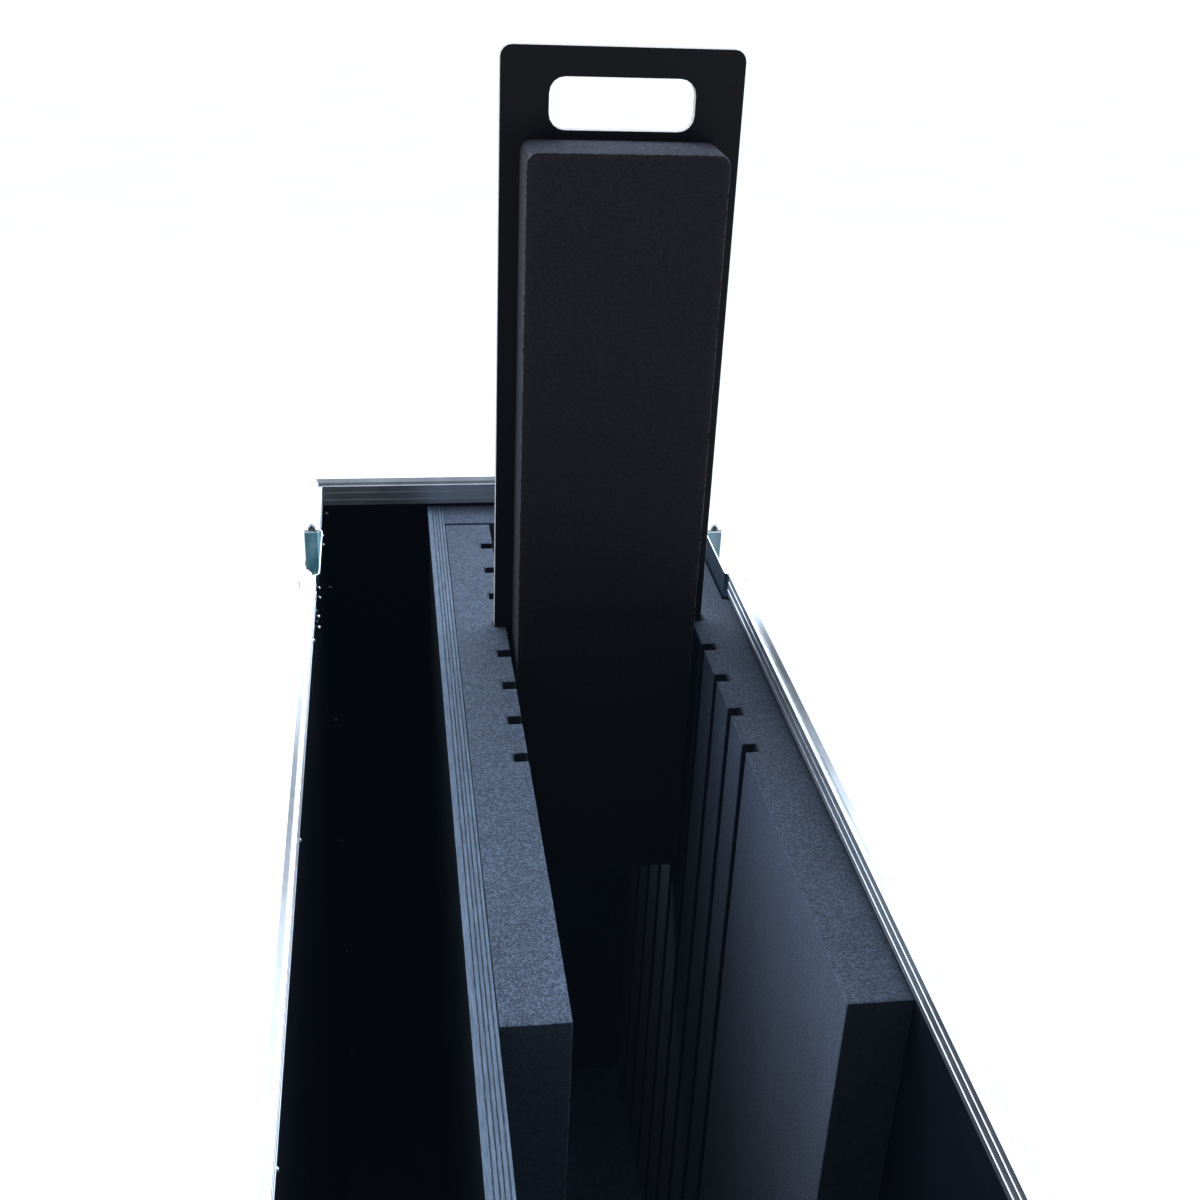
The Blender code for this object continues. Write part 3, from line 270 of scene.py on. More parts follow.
class Finish:
    """A procedural material: a Principled shader and the nodes that drive it."""

    # Sockets of a Mix node that mixes colours, which share their names with those for numbers
    MIX_FIRST = 6
    MIX_SECOND = 7
    MIX_RESULT = 2

    # How far a normal has to lean along an axis to count as facing along it
    FACING = 0.8

    def __init__(self, name, roughness=0.5, metallic=0.0, specular=0.5):
        self.material = bpy.data.materials.new(name)
        self.material.use_nodes = True
        self.tree = self.material.node_tree
        self.shader = self.tree.nodes["Principled BSDF"]
        self.set("Roughness", roughness)
        self.set("Metallic", metallic)
        self.set("Specular IOR Level", specular)
        coordinates = self.node("ShaderNodeTexCoord")
        self.place = coordinates.outputs["Object"]
        self.facing = coordinates.outputs["Normal"]
        self.share = coordinates.outputs["Generated"]

    def node(self, kind, **settings):
        """A new node with the given settings."""
        made = self.tree.nodes.new(kind)
        for key, value in settings.items():
            setattr(made, key, value)
        return made

    def feed(self, source, socket):
        """Links a socket, or sets it where the source is a number or a colour."""
        if isinstance(source, bpy.types.NodeSocket):
            self.tree.links.new(source, socket)
        elif isinstance(source, tuple):
            socket.default_value = (*source, 1.0)
        else:
            socket.default_value = source

    def set(self, socket, source):
        """Feeds a socket of the shader."""
        self.feed(source, self.shader.inputs[socket])

    def texture(self, kind, size, stretch=(1, 1, 1)):
        """A texture with features of about size metres, longer along an axis whose stretch is above 1."""
        mapping = self.node("ShaderNodeMapping")
        mapping.inputs["Scale"].default_value = [1 / (size * along) for along in stretch]
        self.feed(self.place, mapping.inputs["Vector"])
        made = self.node(kind)
        made.inputs["Scale"].default_value = 1.0
        self.feed(mapping.outputs["Vector"], made.inputs["Vector"])
        return made

    def noise(self, size, stretch=(1, 1, 1), detail=3.0, roughness=0.55):
        """Cloudy noise from 0 to 1."""
        made = self.texture("ShaderNodeTexNoise", size, stretch)
        made.inputs["Detail"].default_value = detail
        made.inputs["Roughness"].default_value = roughness
        return made.outputs["Fac"]

    def cells(self, size):
        """Distance from the middles of cells about size metres wide."""
        return self.texture("ShaderNodeTexVoronoi", size).outputs["Distance"]

    def speckle(self, size):
        """A random grey for each cell about size metres wide."""
        return self.part_of(self.texture("ShaderNodeTexVoronoi", size).outputs["Color"], "X")

    def ramp(self, factor, *stops):
        """Colours or greys blended along a factor, as pairs of place and value."""
        made = self.node("ShaderNodeValToRGB")
        elements = made.color_ramp.elements
        for index, (place, value) in enumerate(stops):
            element = elements[index] if index < 2 else elements.new(place)
            element.position = place
            element.color = (*value, 1.0) if isinstance(value, tuple) else (value, value, value, 1.0)
        self.feed(factor, made.inputs["Fac"])
        return made.outputs["Color"]

    def math(self, operation, first, second=0.0, clamp=False):
        """The result of one arithmetic operation."""
        made = self.node("ShaderNodeMath", operation=operation, use_clamp=clamp)
        self.feed(first, made.inputs[0])
        self.feed(second, made.inputs[1])
        return made.outputs["Value"]

    def plus(self, first, second, clamp=False):
        return self.math("ADD", first, second, clamp)

    def minus(self, first, second):
        return self.math("SUBTRACT", first, second)

    def times(self, first, second):
        return self.math("MULTIPLY", first, second)

    def above(self, value, limit):
        return self.math("GREATER_THAN", value, limit)

    def below(self, value, limit):
        return self.math("LESS_THAN", value, limit)

    def swing(self, factor, reach):
        """A factor from 0 to 1 mapped onto half of reach either way of 0."""
        return self.times(self.minus(factor, 0.5), reach)

    def spread(self, factor, low, high):
        """A factor from 0 to 1 mapped onto low to high."""
        made = self.node("ShaderNodeMapRange")
        made.inputs["To Min"].default_value = low
        made.inputs["To Max"].default_value = high
        self.feed(factor, made.inputs["Value"])
        return made.outputs["Result"]

    def mix(self, factor, first, second, blend="MIX"):
        """Two colours mixed by a factor."""
        made = self.node("ShaderNodeMix", data_type="RGBA", blend_type=blend)
        self.feed(factor, made.inputs["Factor"])
        self.feed(first, made.inputs[self.MIX_FIRST])
        self.feed(second, made.inputs[self.MIX_SECOND])
        return made.outputs[self.MIX_RESULT]

    def shaded(self, colour, shading):
        """A colour multiplied by a grey or by another colour."""
        return self.mix(1.0, colour, shading, "MULTIPLY")

    def part_of(self, vector, axis):
        """One of the three parts of a vector."""
        made = self.node("ShaderNodeSeparateXYZ")
        self.feed(vector, made.inputs["Vector"])
        return made.outputs[axis]

    def height(self):
        """Height above the ground."""
        return self.part_of(self.place, "Z")

    def off_middle(self, axis):
        """Distance from the middle of the case along an axis, either way."""
        return self.math("ABSOLUTE", self.part_of(self.place, axis))

    def faces(self, axis):
        """1 where the surface faces along an axis, either way, and 0 elsewhere."""
        lean = self.math("ABSOLUTE", self.part_of(self.facing, axis))
        return self.above(lean, self.FACING)

    def attribute(self, name):
        """A number that the mesh carries at its points."""
        return self.node("ShaderNodeAttribute", attribute_name=name).outputs["Fac"]

    def bump(self, height, depth, strength):
        """Bumps whose full height is depth metres."""
        made = self.node("ShaderNodeBump")
        made.inputs["Strength"].default_value = strength
        made.inputs["Distance"].default_value = depth
        self.feed(height, made.inputs["Height"])
        return made.outputs["Normal"]


def laminate_colour(finish):
    """Black film: nearly even, with faint dust and scuffs."""
    dust = finish.noise(0.035, detail=6.0, roughness=0.65)
    scuffs = finish.noise(0.010, stretch=(1, 9, 3), detail=4.0)
    return finish.ramp(finish.times(dust, scuffs), (0.15, FILM_DARK), (0.55, FILM_LIGHT))


def laminate():
    """Black film on the walls and the floor panel."""
    finish = Finish("laminate", specular=0.16)
    finish.set("Base Color", laminate_colour(finish))
    patches = finish.noise(0.05, detail=5.0)
    finish.set("Roughness", finish.spread(patches, 0.34, 0.52))
    grain = finish.noise(0.0016, detail=2.0)
    finish.set("Normal", finish.bump(grain, 0.00012, 0.35))
    return finish.material


def ply_colour(finish, axis, low, high, stretch, shares, light, dark):
    """Cut edge of plywood: its colour, its layers between dark glue lines, and its fibres."""
    waver = finish.swing(finish.noise(0.030, stretch=stretch, detail=2.0), GLUE_WAVER)
    place = finish.part_of(finish.place, axis)
    share = finish.math("DIVIDE", finish.minus(place, low), high - low)
    stops = [(0.0, 1.0)]
    for line in shares:
        stops += [(line - GLUE_BLUR, 1.0), (line - GLUE_HALF, 0.0)]
        stops += [(line + GLUE_HALF, 0.0), (line + GLUE_BLUR, 1.0)]
    layers = finish.ramp(finish.plus(share, waver), *stops, (1.0, 1.0))
    gaps = finish.noise(0.0006, stretch=stretch, detail=2.0)
    layers = finish.plus(layers, finish.ramp(gaps, (0.54, 0.0), (0.62, 0.45)), clamp=True)
    fibres = finish.noise(0.0016, stretch=stretch, detail=4.0, roughness=0.75)
    wood = finish.ramp(fibres, (0.36, dark), (0.64, light))
    return finish.mix(layers, scaled(dark, GLUE_SHADE), wood), layers, fibres


def bay_wall_finish():
    """Black film on both faces of the bay wall, chipped along its top, and bare layers between."""
    low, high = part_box("bay_wall")
    finish = Finish("bay_wall_plywood", specular=0.25)
    edge, layers, fibres = ply_colour(
        finish, "X", low.x, high.x, (1, 14, 1), GLUE_LINE_SHARES, BAY_WOOD_LIGHT, BAY_WOOD_DARK
    )
    film = finish.faces("X")
    top = finish.above(finish.height(), high.z - CHIP_HEIGHT)
    flakes = finish.ramp(finish.noise(0.0060, detail=4.0, roughness=0.75), (0.58, 0.0), (0.62, 1.0))
    chipped = finish.mix(finish.times(top, flakes), laminate_colour(finish), CHIP_COLOUR)
    finish.set("Base Color", finish.mix(film, edge, chipped))
    finish.set("Roughness", finish.spread(film, 0.8, 0.42))
    height = finish.plus(layers, finish.times(fibres, 0.6))
    bare = finish.minus(1.0, film)
    finish.set("Normal", finish.bump(finish.times(height, bare), 0.0004, 0.7))
    return finish.material


def board_finish(node):
    """Film-faced boards under the floor, with plain layered edges."""
    low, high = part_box(node)
    finish = Finish(f"{node}_plywood", specular=0.3)
    shares = [step / BOARD_PLIES for step in range(1, BOARD_PLIES, 2)]
    edge, _, _ = ply_colour(
        finish, "Z", low.z, high.z, (10, 10, 1), shares, BOARD_WOOD_LIGHT, BOARD_WOOD_DARK
    )
    film = finish.faces("Z")
    finish.set("Base Color", finish.mix(film, edge, laminate_colour(finish)))
    finish.set("Roughness", finish.spread(film, 0.8, 0.45))
    return finish.material


def panel_finish():
    """Black film on the divider panel's faces and pale wood along its cut edges."""
    finish = Finish("divider_panel_board", specular=0.18)
    mottle = finish.noise(0.006, detail=5.0, roughness=0.7)
    film = finish.ramp(mottle, (0.25, PANEL_FILM_DARK), (0.80, PANEL_FILM_LIGHT))
    fibres = finish.noise(0.0011, stretch=(1, 1, 12), detail=4.0, roughness=0.7)
    edge = finish.ramp(fibres, (0.25, PANEL_WOOD_DARK), (0.75, PANEL_WOOD_LIGHT))
    finish.set("Base Color", finish.mix(finish.faces("Y"), edge, film))
    finish.set("Roughness", finish.spread(mottle, 0.48, 0.66))
    grain = finish.noise(0.0014, detail=2.0)
    finish.set("Normal", finish.bump(grain, 0.00015, 0.4))
    return finish.material


def foam_grey(finish, grain, side_grain):
    """How light cut foam is at each point, with its grain weakened on upright faces."""
    specks = finish.math("POWER", finish.speckle(0.0013), 1.6)
    fine = finish.plus(finish.times(grain, 0.60), finish.times(specks, 0.40))
    strength = finish.spread(finish.faces("Z"), side_grain, 1.0)
    blotches = finish.noise(0.045, detail=4.0, roughness=0.6)
    streaks = finish.noise(0.006, stretch=(1, 1, 40), detail=3.0)
    grey = finish.plus(finish.swing(fine, strength), 0.5)
    grey = finish.plus(grey, finish.swing(blotches, 0.16))
    return finish.plus(grey, finish.swing(streaks, 0.10))


def foam_finish(name, dark, light, frayed_and_highlight, skin=None, painted_shades=(), side_grain=1.0, sheen=0.15):
    """Closed-cell foam: grainy where it was cut, darker and smoother on a skin that faces along Y, with
    painted light and shade by facing and inside slots, and pale fraying edges.
    """
    finish = Finish(name, roughness=0.95, specular=0.15)
    finish.set("Sheen Weight", sheen)
    finish.set("Sheen Roughness", 0.6)
    grain = finish.noise(0.0013, detail=2.0, roughness=0.75)
    grey = foam_grey(finish, grain, side_grain)
    colour = finish.ramp(grey, (0.26, dark), (0.74, scaled(light, 1.36)))
    # Painted light and shade: faces square to an axis made lighter or darker
    for axis, painted_shade in painted_shades:
        colour = finish.shaded(colour, finish.mix(finish.faces(axis), PLAIN, painted_shade))
    # Painted shade inside the slots
    colour = finish.shaded(colour, finish.spread(finish.attribute("painted_slot_shade"), 1.0, 0.22))
    height = finish.plus(grain, finish.times(finish.cells(0.0020), 0.6))
    if skin is not None:
        smooth = finish.faces("Y")
        mottle = finish.noise(0.0030, detail=4.0, roughness=0.7)
        skin_colour = finish.ramp(mottle, (0.36, scaled(skin, 0.62)), (0.66, scaled(skin, 1.18)))
        colour = finish.mix(smooth, colour, skin_colour)
        height = finish.times(height, finish.spread(smooth, 1.0, 0.25))
    # Pale fraying along rounded edges; on the pad this pale colour is a painted highlight
    worn_and_lit = finish.math("POWER", finish.attribute("worn_and_lit"), 2.5)
    crumbs_and_glints = finish.ramp(finish.noise(0.0036, detail=3.0, roughness=0.7), (0.40, 0.0), (0.52, 0.85))
    finish.set("Base Color", finish.mix(finish.times(worn_and_lit, crumbs_and_glints), colour, frayed_and_highlight))
    finish.set("Normal", finish.bump(height, 0.0008, 0.8))
    return finish.material


def metal_finish(name, colour, roughness, stretch, streak_depth):
    """Bare metal with fine streaks along the way it was drawn or rolled."""
    finish = Finish(name, metallic=1.0)
    streaks = finish.noise(0.0009, stretch=stretch, detail=3.0, roughness=0.6)
    cloud = finish.noise(0.030, detail=4.0)
    finish.set("Base Color", finish.ramp(cloud, (0.30, scaled(colour, 0.82)), (0.65, colour)))
    both = finish.times(streaks, finish.spread(cloud, 0.7, 1.2))
    finish.set("Roughness", finish.spread(both, roughness * 0.80, roughness * 1.25))
    finish.set("Normal", finish.bump(streaks, streak_depth, 0.5))
    return finish.material


def zinc_finish(name="zinc_plate", side=None):
    """Blue-passivated zinc plating, slightly clouded. A side is given for its latch dishes."""
    finish = Finish(name, metallic=1.0)
    cloud = finish.noise(0.018, detail=4.0, roughness=0.6)
    spangle = finish.noise(0.0022, detail=2.0)
    both = finish.plus(finish.times(cloud, 0.75), finish.times(spangle, 0.25))
    colour = finish.ramp(both, (0.35, ZINC_DARK), (0.52, ZINC_MIDDLE), (0.70, ZINC_LIGHT))
    if side is not None:
        colour = dish_colour(finish, colour, side)
    finish.set("Base Color", colour)
    finish.set("Roughness", finish.spread(cloud, 0.16, 0.32))
    finish.set("Normal", finish.bump(spangle, 0.00005, 0.4))
    return finish.material


def dish_colour(finish, plating, side):
    """A latch dish: plating in painted shade and light, a back in painted shade, a painted lit line and
    shadow line along its top, cut top edges with painted highlight, and rivet tails in painted shade and
    highlight.
    """
    low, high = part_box(f"latch_dish_far_{side}")
    inward = finish.off_middle("X")
    rise = finish.height()
    outer = high.x if side == "right" else -low.x
    depth = finish.math("DIVIDE", finish.minus(inward, DISH_BACK), outer - DISH_BACK)
    # Painted shade and light across the dish from its back outwards
    plating = finish.shaded(plating, finish.ramp(depth, *DISH_DEPTH_PAINTED_SHADES))
    if side == "right":
        plating = finish.mix(DISH_GREY_SHARE, plating, DISH_GREY)
    from_centre = finish.math("ABSOLUTE", finish.minus(finish.off_middle("Y"), (low.y + high.y) / 2))
    on_flange = finish.above(from_centre, (high.y - low.y) / 2 - DISH_FLANGE)
    end_wall = finish.faces("Y")
    # Painted shade on the back of the dish
    back = finish.below(inward, DISH_BACK + DISH_BACK_MARGIN)
    # Painted lit line and painted shadow line along the tops of the end walls
    lit = finish.times(end_wall, finish.above(rise, high.z - DISH_LIT_DROP))
    shadow = finish.times(end_wall, finish.above(rise, high.z - DISH_SHADOW_DROP))
    # Rivet tails on the flange: stems in painted shade, ends with painted highlight
    shaded_tail = finish.times(finish.below(inward, WALL_INSIDE + WALL_MARGIN), on_flange)
    lit_tip = finish.times(shaded_tail, finish.below(inward, WALL_INSIDE - TAIL_STEM))
    # Cut top edges: partly bare steel, partly painted highlight
    cut = finish.times(finish.above(rise, RIM_TOP - DISH_CUT_DROP), finish.faces("Z"))
    colour = finish.mix(back, plating, DISH_BACK_PAINTED_SHADES[side])
    colour = finish.mix(lit, colour, DISH_LIT)
    colour = finish.mix(shadow, colour, DISH_SHADOW)
    colour = finish.mix(shaded_tail, colour, TAIL_STEM_SHADE)
    colour = finish.mix(lit_tip, colour, TAIL_TIP_HIGHLIGHT)
    return finish.mix(cut, colour, DISH_CUT_HIGHLIGHT)


def tail_finish():
    """Pulled rivet tails in the accessory bay: stems in painted shade with painted highlight on their
    ends.
    """
    finish = Finish("rivet_tails", roughness=0.35, metallic=1.0)
    inner = -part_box("rim_left_middle")[1].x
    lit_tip = finish.below(finish.off_middle("X"), inner - TAIL_STEM)
    finish.set("Base Color", finish.mix(lit_tip, TAIL_STEM_SHADE, TAIL_TIP_HIGHLIGHT))
    return finish.material


def wheel_finish():
    """Blue elastic tread round a grey core, told apart by the distance from the axle."""
    finish = Finish("castor_wheel_tread", specular=0.4)
    along = finish.minus(finish.part_of(finish.share, "Y"), 0.5)
    up = finish.minus(finish.part_of(finish.share, "Z"), 0.5)
    squares = finish.plus(finish.times(along, along), finish.times(up, up))
    radius = finish.times(finish.math("SQRT", squares), 2.0)
    core = finish.below(radius, CORE_SHARE)
    dust = finish.noise(0.012, detail=5.0, roughness=0.65)
    rubber = finish.ramp(dust, (0.30, TREAD_DARK), (0.75, TREAD_LIGHT))
    plastic = finish.ramp(dust, (0.30, CORE_DARK), (0.75, CORE_LIGHT))
    finish.set("Base Color", finish.mix(core, rubber, plastic))
    finish.set("Roughness", finish.spread(dust, 0.45, 0.75))
    finish.set("Normal", finish.bump(finish.noise(0.0015), 0.0001, 0.4))
    return finish.material


def bail_finish(node):
    """Black moulded grip on a plated rod."""
    low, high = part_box(node)
    finish = Finish(f"{node}_grip")
    between = finish.below(finish.off_middle("X"), GRIP_HALF)
    grip = finish.times(between, finish.below(finish.height(), low.z + GRIP_HEIGHT))
    pebbles = finish.cells(0.0016)
    dark = finish.ramp(pebbles, (0.1, GRIP_DARK), (0.7, GRIP_LIGHT))
    finish.set("Base Color", finish.mix(grip, ROD_METAL, dark))
    finish.set("Metallic", finish.minus(1.0, grip))
    finish.set("Roughness", finish.spread(grip, 0.28, 0.72))
    finish.set("Normal", finish.bump(finish.times(pebbles, grip), 0.0003, 0.5))
    return finish.material


def floor_finish():
    """Plain pale studio floor."""
    finish = Finish("studio_floor", roughness=0.85, specular=0.2)
    cloud = finish.noise(0.6, detail=3.0)
    finish.set("Base Color", finish.ramp(cloud, (0.3, FLOOR_DARK), (0.7, FLOOR_LIGHT)))
    finish.set("Normal", finish.bump(finish.noise(0.004), 0.0002, 0.2))
    return finish.material


def dress(node, material, edge=0.0, segments=2):
    """Gives a CAD node its finish, and eases its sharp edges by a small bevel."""
    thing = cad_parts[node]
    if not thing.material_slots:
        thing.data.materials.append(material)
    for slot in thing.material_slots:
        slot.material = material
    weld = thing.modifiers.new("weld", "WELD")
    weld.merge_threshold = WELD
    if edge:
        bevel = thing.modifiers.new("eased_edges", "BEVEL")
        bevel.width = edge
        bevel.segments = segments
        bevel.limit_method = "ANGLE"
        bevel.angle_limit = EASED_ANGLE
        bevel.use_clamp_overlap = True
        bevel.harden_normals = False


def dress_nodes():
    """Finishes every CAD node that shows."""
    black = laminate()
    for node in ("floor_panel", "left_wall", "right_wall", "far_wall", "near_wall"):
        dress(node, black)
    dress("bay_wall", bay_wall_finish(), EASE_WALL)
    dress("divider_panel", panel_finish(), EASE_BOARD)
    along = metal_finish("rim_along", RIM_METAL, 0.42, (1, 90, 1), 0.00001)
    across = metal_finish("rim_across", RIM_METAL, 0.52, (90, 1, 1), 0.00001)
    upright = metal_finish("rim_upright", RIM_METAL, 0.42, (1, 1, 90), 0.00001)
    zinc = zinc_finish()
    dish_zinc = {side: zinc_finish(f"zinc_dish_{side}", side) for side in ("left", "right")}
    castor_metal = metal_finish("castor_plating", CASTOR_METAL, 0.30, (1, 1, 1), 0.00002)
    tread = wheel_finish()
    for side in ("left", "right"):
        for stretch in ("far", "middle", "near"):
            dress(f"rim_{side}_{stretch}", along, EASE_RIM, 1)
        dress(f"bottom_angle_{side}", along, EASE_METAL)
    for end in ("far", "near"):
        dress(f"rim_{end}", across, EASE_RIM, 1)
        dress(f"bottom_angle_{end}", across, EASE_METAL)
        dress(f"castor_board_{end}", board_finish(f"castor_board_{end}"), EASE_BOARD)
        dress(f"handle_dish_{end}", zinc, EASE_PRESSED)
        dress(f"handle_bail_{end}", bail_finish(f"handle_bail_{end}"))
        for side in ("left", "right"):
            where = f"{end}_{side}"
            dress(f"corner_angle_{where}", upright, EASE_METAL)
            dress(f"ball_corner_{where}", zinc, EASE_PRESSED)
            dress(f"latch_dish_{where}", dish_zinc[side], EASE_DISH)
            dress(f"latch_keeper_{where}", zinc, EASE_PRESSED)
            dress(f"castor_plate_{where}", castor_metal, EASE_METAL)
            dress(f"castor_fork_{where}", castor_metal, EASE_METAL)
            dress(f"castor_wheel_{where}", tread)


def make_piece(name, shape, material, sharp_angle=None):
    """An object made of a bmesh, smooth but for edges past the sharp angle where one is given."""
    mesh = bpy.data.meshes.new(name)
    shape.to_mesh(mesh)
    shape.free()
    if sharp_angle is not None:
        mesh.shade_smooth()
        mesh.set_sharp_from_angle(angle=sharp_angle)
    mesh.materials.append(material)
    piece = bpy.data.objects.new(name, mesh)
    bpy.context.scene.collection.objects.link(piece)
    return piece


def stations(values, step):
    """Places between the outer values, no wider apart than step, with two close beside each value."""
    ordered = sorted(values)
    kept = [ordered[0]]
    for value in ordered[1:]:
        if value - kept[-1] > WELD:
            kept.append(value)
    places = []
    for low, high in zip(kept, kept[1:]):
        if high - low > 3 * FOAM_EDGE_BAND:
            low += FOAM_EDGE_BAND
            high -= FOAM_EDGE_BAND
            places += [low, high]
        count = max(1, math.ceil((high - low) / step))
        places += [low + (high - low) * index / count for index in range(1, count)]
    for place in (kept[0] + FOAM_EDGE_BAND, kept[-1] - FOAM_EDGE_BAND):
        if min(abs(place - other) for other in kept + places) > 0.1 * FOAM_EDGE_BAND:
            places.append(place)
    return places


def slice_up(shape, steps):
    """Slices a mesh into a grid that follows its own corners."""
    for axis, step in enumerate(steps):
        normal = Vector((0, 0, 0))
        normal[axis] = 1
        for place in stations([vert.co[axis] for vert in shape.verts], step):
            everything = shape.verts[:] + shape.edges[:] + shape.faces[:]
            bmesh.ops.bisect_plane(
                shape, geom=everything, dist=WELD, plane_co=normal * place, plane_no=normal
            )


def round_edges(shape):
    """Rounds the convex edges of a foam, and gives the faces of the rounding."""
    sharp = [
        edge
        for edge in shape.edges
        if edge.is_manifold and edge.is_convex and edge.calc_face_angle() > CUT_ANGLE
    ]
    eased = bmesh.ops.bevel(
        shape,
        geom=sharp,
        offset=FOAM_EDGE,
        segments=2,
        affect="EDGES",
        profile=FOAM_EDGE_PROFILE,
        clamp_overlap=True,
    )
    return eased["faces"]


def find_slots(node, shape):
    """The side of a slotted foam and the X of its slots' backs. A plain foam has no side."""
    across = sorted({round(vert.co.x, 5) for vert in shape.verts})
    slotted = {"left_foam": ("left", across[-2]), "right_foam": ("right", across[1])}
    return slotted.get(node, (None, 0))


def in_slot(vert, side, back, low, high):
    """Whether a point of a side foam lies on the inside of one of its slots."""
    at_back = abs(vert.co.x - back) < SLOT_BACK_MARGIN
    if side == "left":
        between = back - SLOT_BACK_MARGIN < vert.co.x < high.x - SLOT_MOUTH_MARGIN
    else:
        between = low.x + SLOT_MOUTH_MARGIN < vert.co.x < back + SLOT_BACK_MARGIN
    off_ends = low.y + FOAM_END_MARGIN < vert.co.y < high.y - FOAM_END_MARGIN
    return off_ends and between and (at_back or abs(vert.normal.y) > SLOT_SIDE_FACING)


def unevenness(vert, size):
    """Smooth noise from 0 to 1 at a point, with features of about size metres."""
    return 0.5 + 0.5 * noise.noise(vert.co / size)


def wear(shape, eased_faces, side, back, low, high):
    """Sinks a foam's points unevenly, and marks its rounded edges for fraying, a painted highlight on the
    pad, and slot insides for painted shade.
    """
    worn_and_lit = shape.verts.layers.float.new("worn_and_lit")
    painted_slot_shade = shape.verts.layers.float.new("painted_slot_shade")
    edge_verts = {vert for face in eased_faces for vert in face.verts}
    shape.normal_update()
    moves = []
    for vert in shape.verts:
        depth = FOAM_WAVE * unevenness(vert, FOAM_WAVE_SIZE)
        if vert in edge_verts:
            on_ridge = max(abs(part) for part in vert.normal) < RIDGE_LIMIT
            vert[worn_and_lit] = RIDGE_WORN_AND_LIT if on_ridge else BESIDE_RIDGE_WORN_AND_LIT
            depth += FOAM_FRAY * unevenness(vert, FOAM_FRAY_SIZE)
        if side is not None and in_slot(vert, side, back, low, high):
            vert[painted_slot_shade] = 1.0
        moves.append((vert, vert.normal * depth))
    for vert, move in moves:
        vert.co -= move


def cut_foam(node, material, steps, body):
    """Foam in the place of a CAD solid: eased and frayed edges, and faces that aren't quite flat."""
    shape = bmesh.new()
    shape.from_mesh(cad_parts[node].data)
    bmesh.ops.remove_doubles(shape, verts=shape.verts, dist=WELD)
    bmesh.ops.dissolve_limit(shape, angle_limit=FLAT_ANGLE, verts=shape.verts, edges=shape.edges)
    side, back = find_slots(node, shape)
    slice_up(shape, steps)
    eased_faces = round_edges(shape)
    low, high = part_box(node)
    wear(shape, eased_faces, side, back, low, high)
    piece = make_piece(f"{node}_cut", shape, material, FOAM_SHARP_ANGLE)
    smoothing = piece.modifiers.new("flat_faces", "WEIGHTED_NORMAL")
    smoothing.keep_sharp = True
    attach(piece, body)
    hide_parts(node)
    return piece


def make_foams():
    """The lining, whose right foam has painted light and shade by facing, and the divider's pad."""
    lining = foam_finish("lining_foam", LINING_DARK, LINING_LIGHT, LINING_FRAYED, side_grain=0.5)
    painted_right_lining = foam_finish(
        "right_foam_painted_shades", LINING_DARK, LINING_LIGHT, LINING_FRAYED, painted_shades=SIDE_PAINTED_SHADES, side_grain=0.5
    )
    pad = foam_finish(
        "pad_foam", PAD_DARK, PAD_LIGHT, PAD_EDGE_HIGHLIGHT, skin=PAD_SKIN, painted_shades=PAD_PAINTED_SHADES, sheen=0.05
    )
    for node in ("left_foam", "right_foam", "far_foam", "near_foam", "floor_foam"):
        finish = painted_right_lining if node == "right_foam" else lining
        cut_foam(node, finish, LINING_STEPS, "case")
    cut_foam("divider_pad", pad, PAD_STEPS, "divider")


def add_rivet(shape, place, radius, height):
    """A low dome on the Z of place, with its flat seat a little under the surface."""
    seat = shape.verts.new(place @ Vector((0, 0, -RIVET_SUNK)))
    top = shape.verts.new(place @ Vector((0, 0, height)))
    rings = []
    for across_share, height_share in RIVET_PROFILE_SHARES:
        level = height * height_share if height_share else -RIVET_SUNK
        ring = []
        for side in range(RIVET_SIDES):
            angle = math.tau * side / RIVET_SIDES
            reach = radius * across_share
            point = Vector((reach * math.cos(angle), reach * math.sin(angle), level))
            ring.append(shape.verts.new(place @ point))
        rings.append(ring)
    for side in range(RIVET_SIDES):
        after = (side + 1) % RIVET_SIDES
        shape.faces.new((seat, rings[0][after], rings[0][side]))
        shape.faces.new((rings[-1][side], rings[-1][after], top))
        for lower, upper in zip(rings, rings[1:]):
            shape.faces.new((lower[side], lower[after], upper[after], upper[side]))


def rivet_group(name, rivets, material, radius=RIVET_RADIUS, height=RIVET_HEIGHT):
    """Several rivets as one piece, each given as its point and its outward direction."""
    shape = bmesh.new()
    for point, outward in rivets:
        turn = Vector(outward).to_track_quat("Z", "Y").to_matrix().to_4x4()
        add_rivet(shape, Matrix.Translation(point) @ turn, radius, height)
    piece = make_piece(name, shape, material, RIVET_SHARP_ANGLE)
    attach(piece, "case")


def spread_out(last, count):
    """Evenly spaced places from -last to last."""
    return [-last + 2 * last * index / (count - 1) for index in range(count)]


def limit(box, axis, sign):
    """Where a box ends along an axis, on the side that the sign gives."""
    return box[1 if sign > 0 else 0][axis]


def corner_rivets():
    """Heads on both legs of each corner angle, and tails on the bare insides of the end walls."""
    heads = []
    tails = []
    inner_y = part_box("far_wall")[0].y
    for end, y_sign in ENDS:
        for side, x_sign in SIDES:
            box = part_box(f"corner_angle_{end}_{side}")
            out_x = limit(box, ACROSS, x_sign)
            out_y = limit(box, ALONG, y_sign)
            in_x = out_x - x_sign * CORNER_RIVET_INSET
            in_y = out_y - y_sign * CORNER_RIVET_INSET
            for drop in CORNER_RIVET_DROPS:
                height = RIM_TOP - drop
                heads.append(((out_x, in_y, height), (x_sign, 0, 0)))
                heads.append(((in_x, out_y, height), (0, y_sign, 0)))
                if side == "left":
                    tails.append(((in_x, y_sign * inner_y, height), (0, -y_sign, 0)))
    return heads, tails


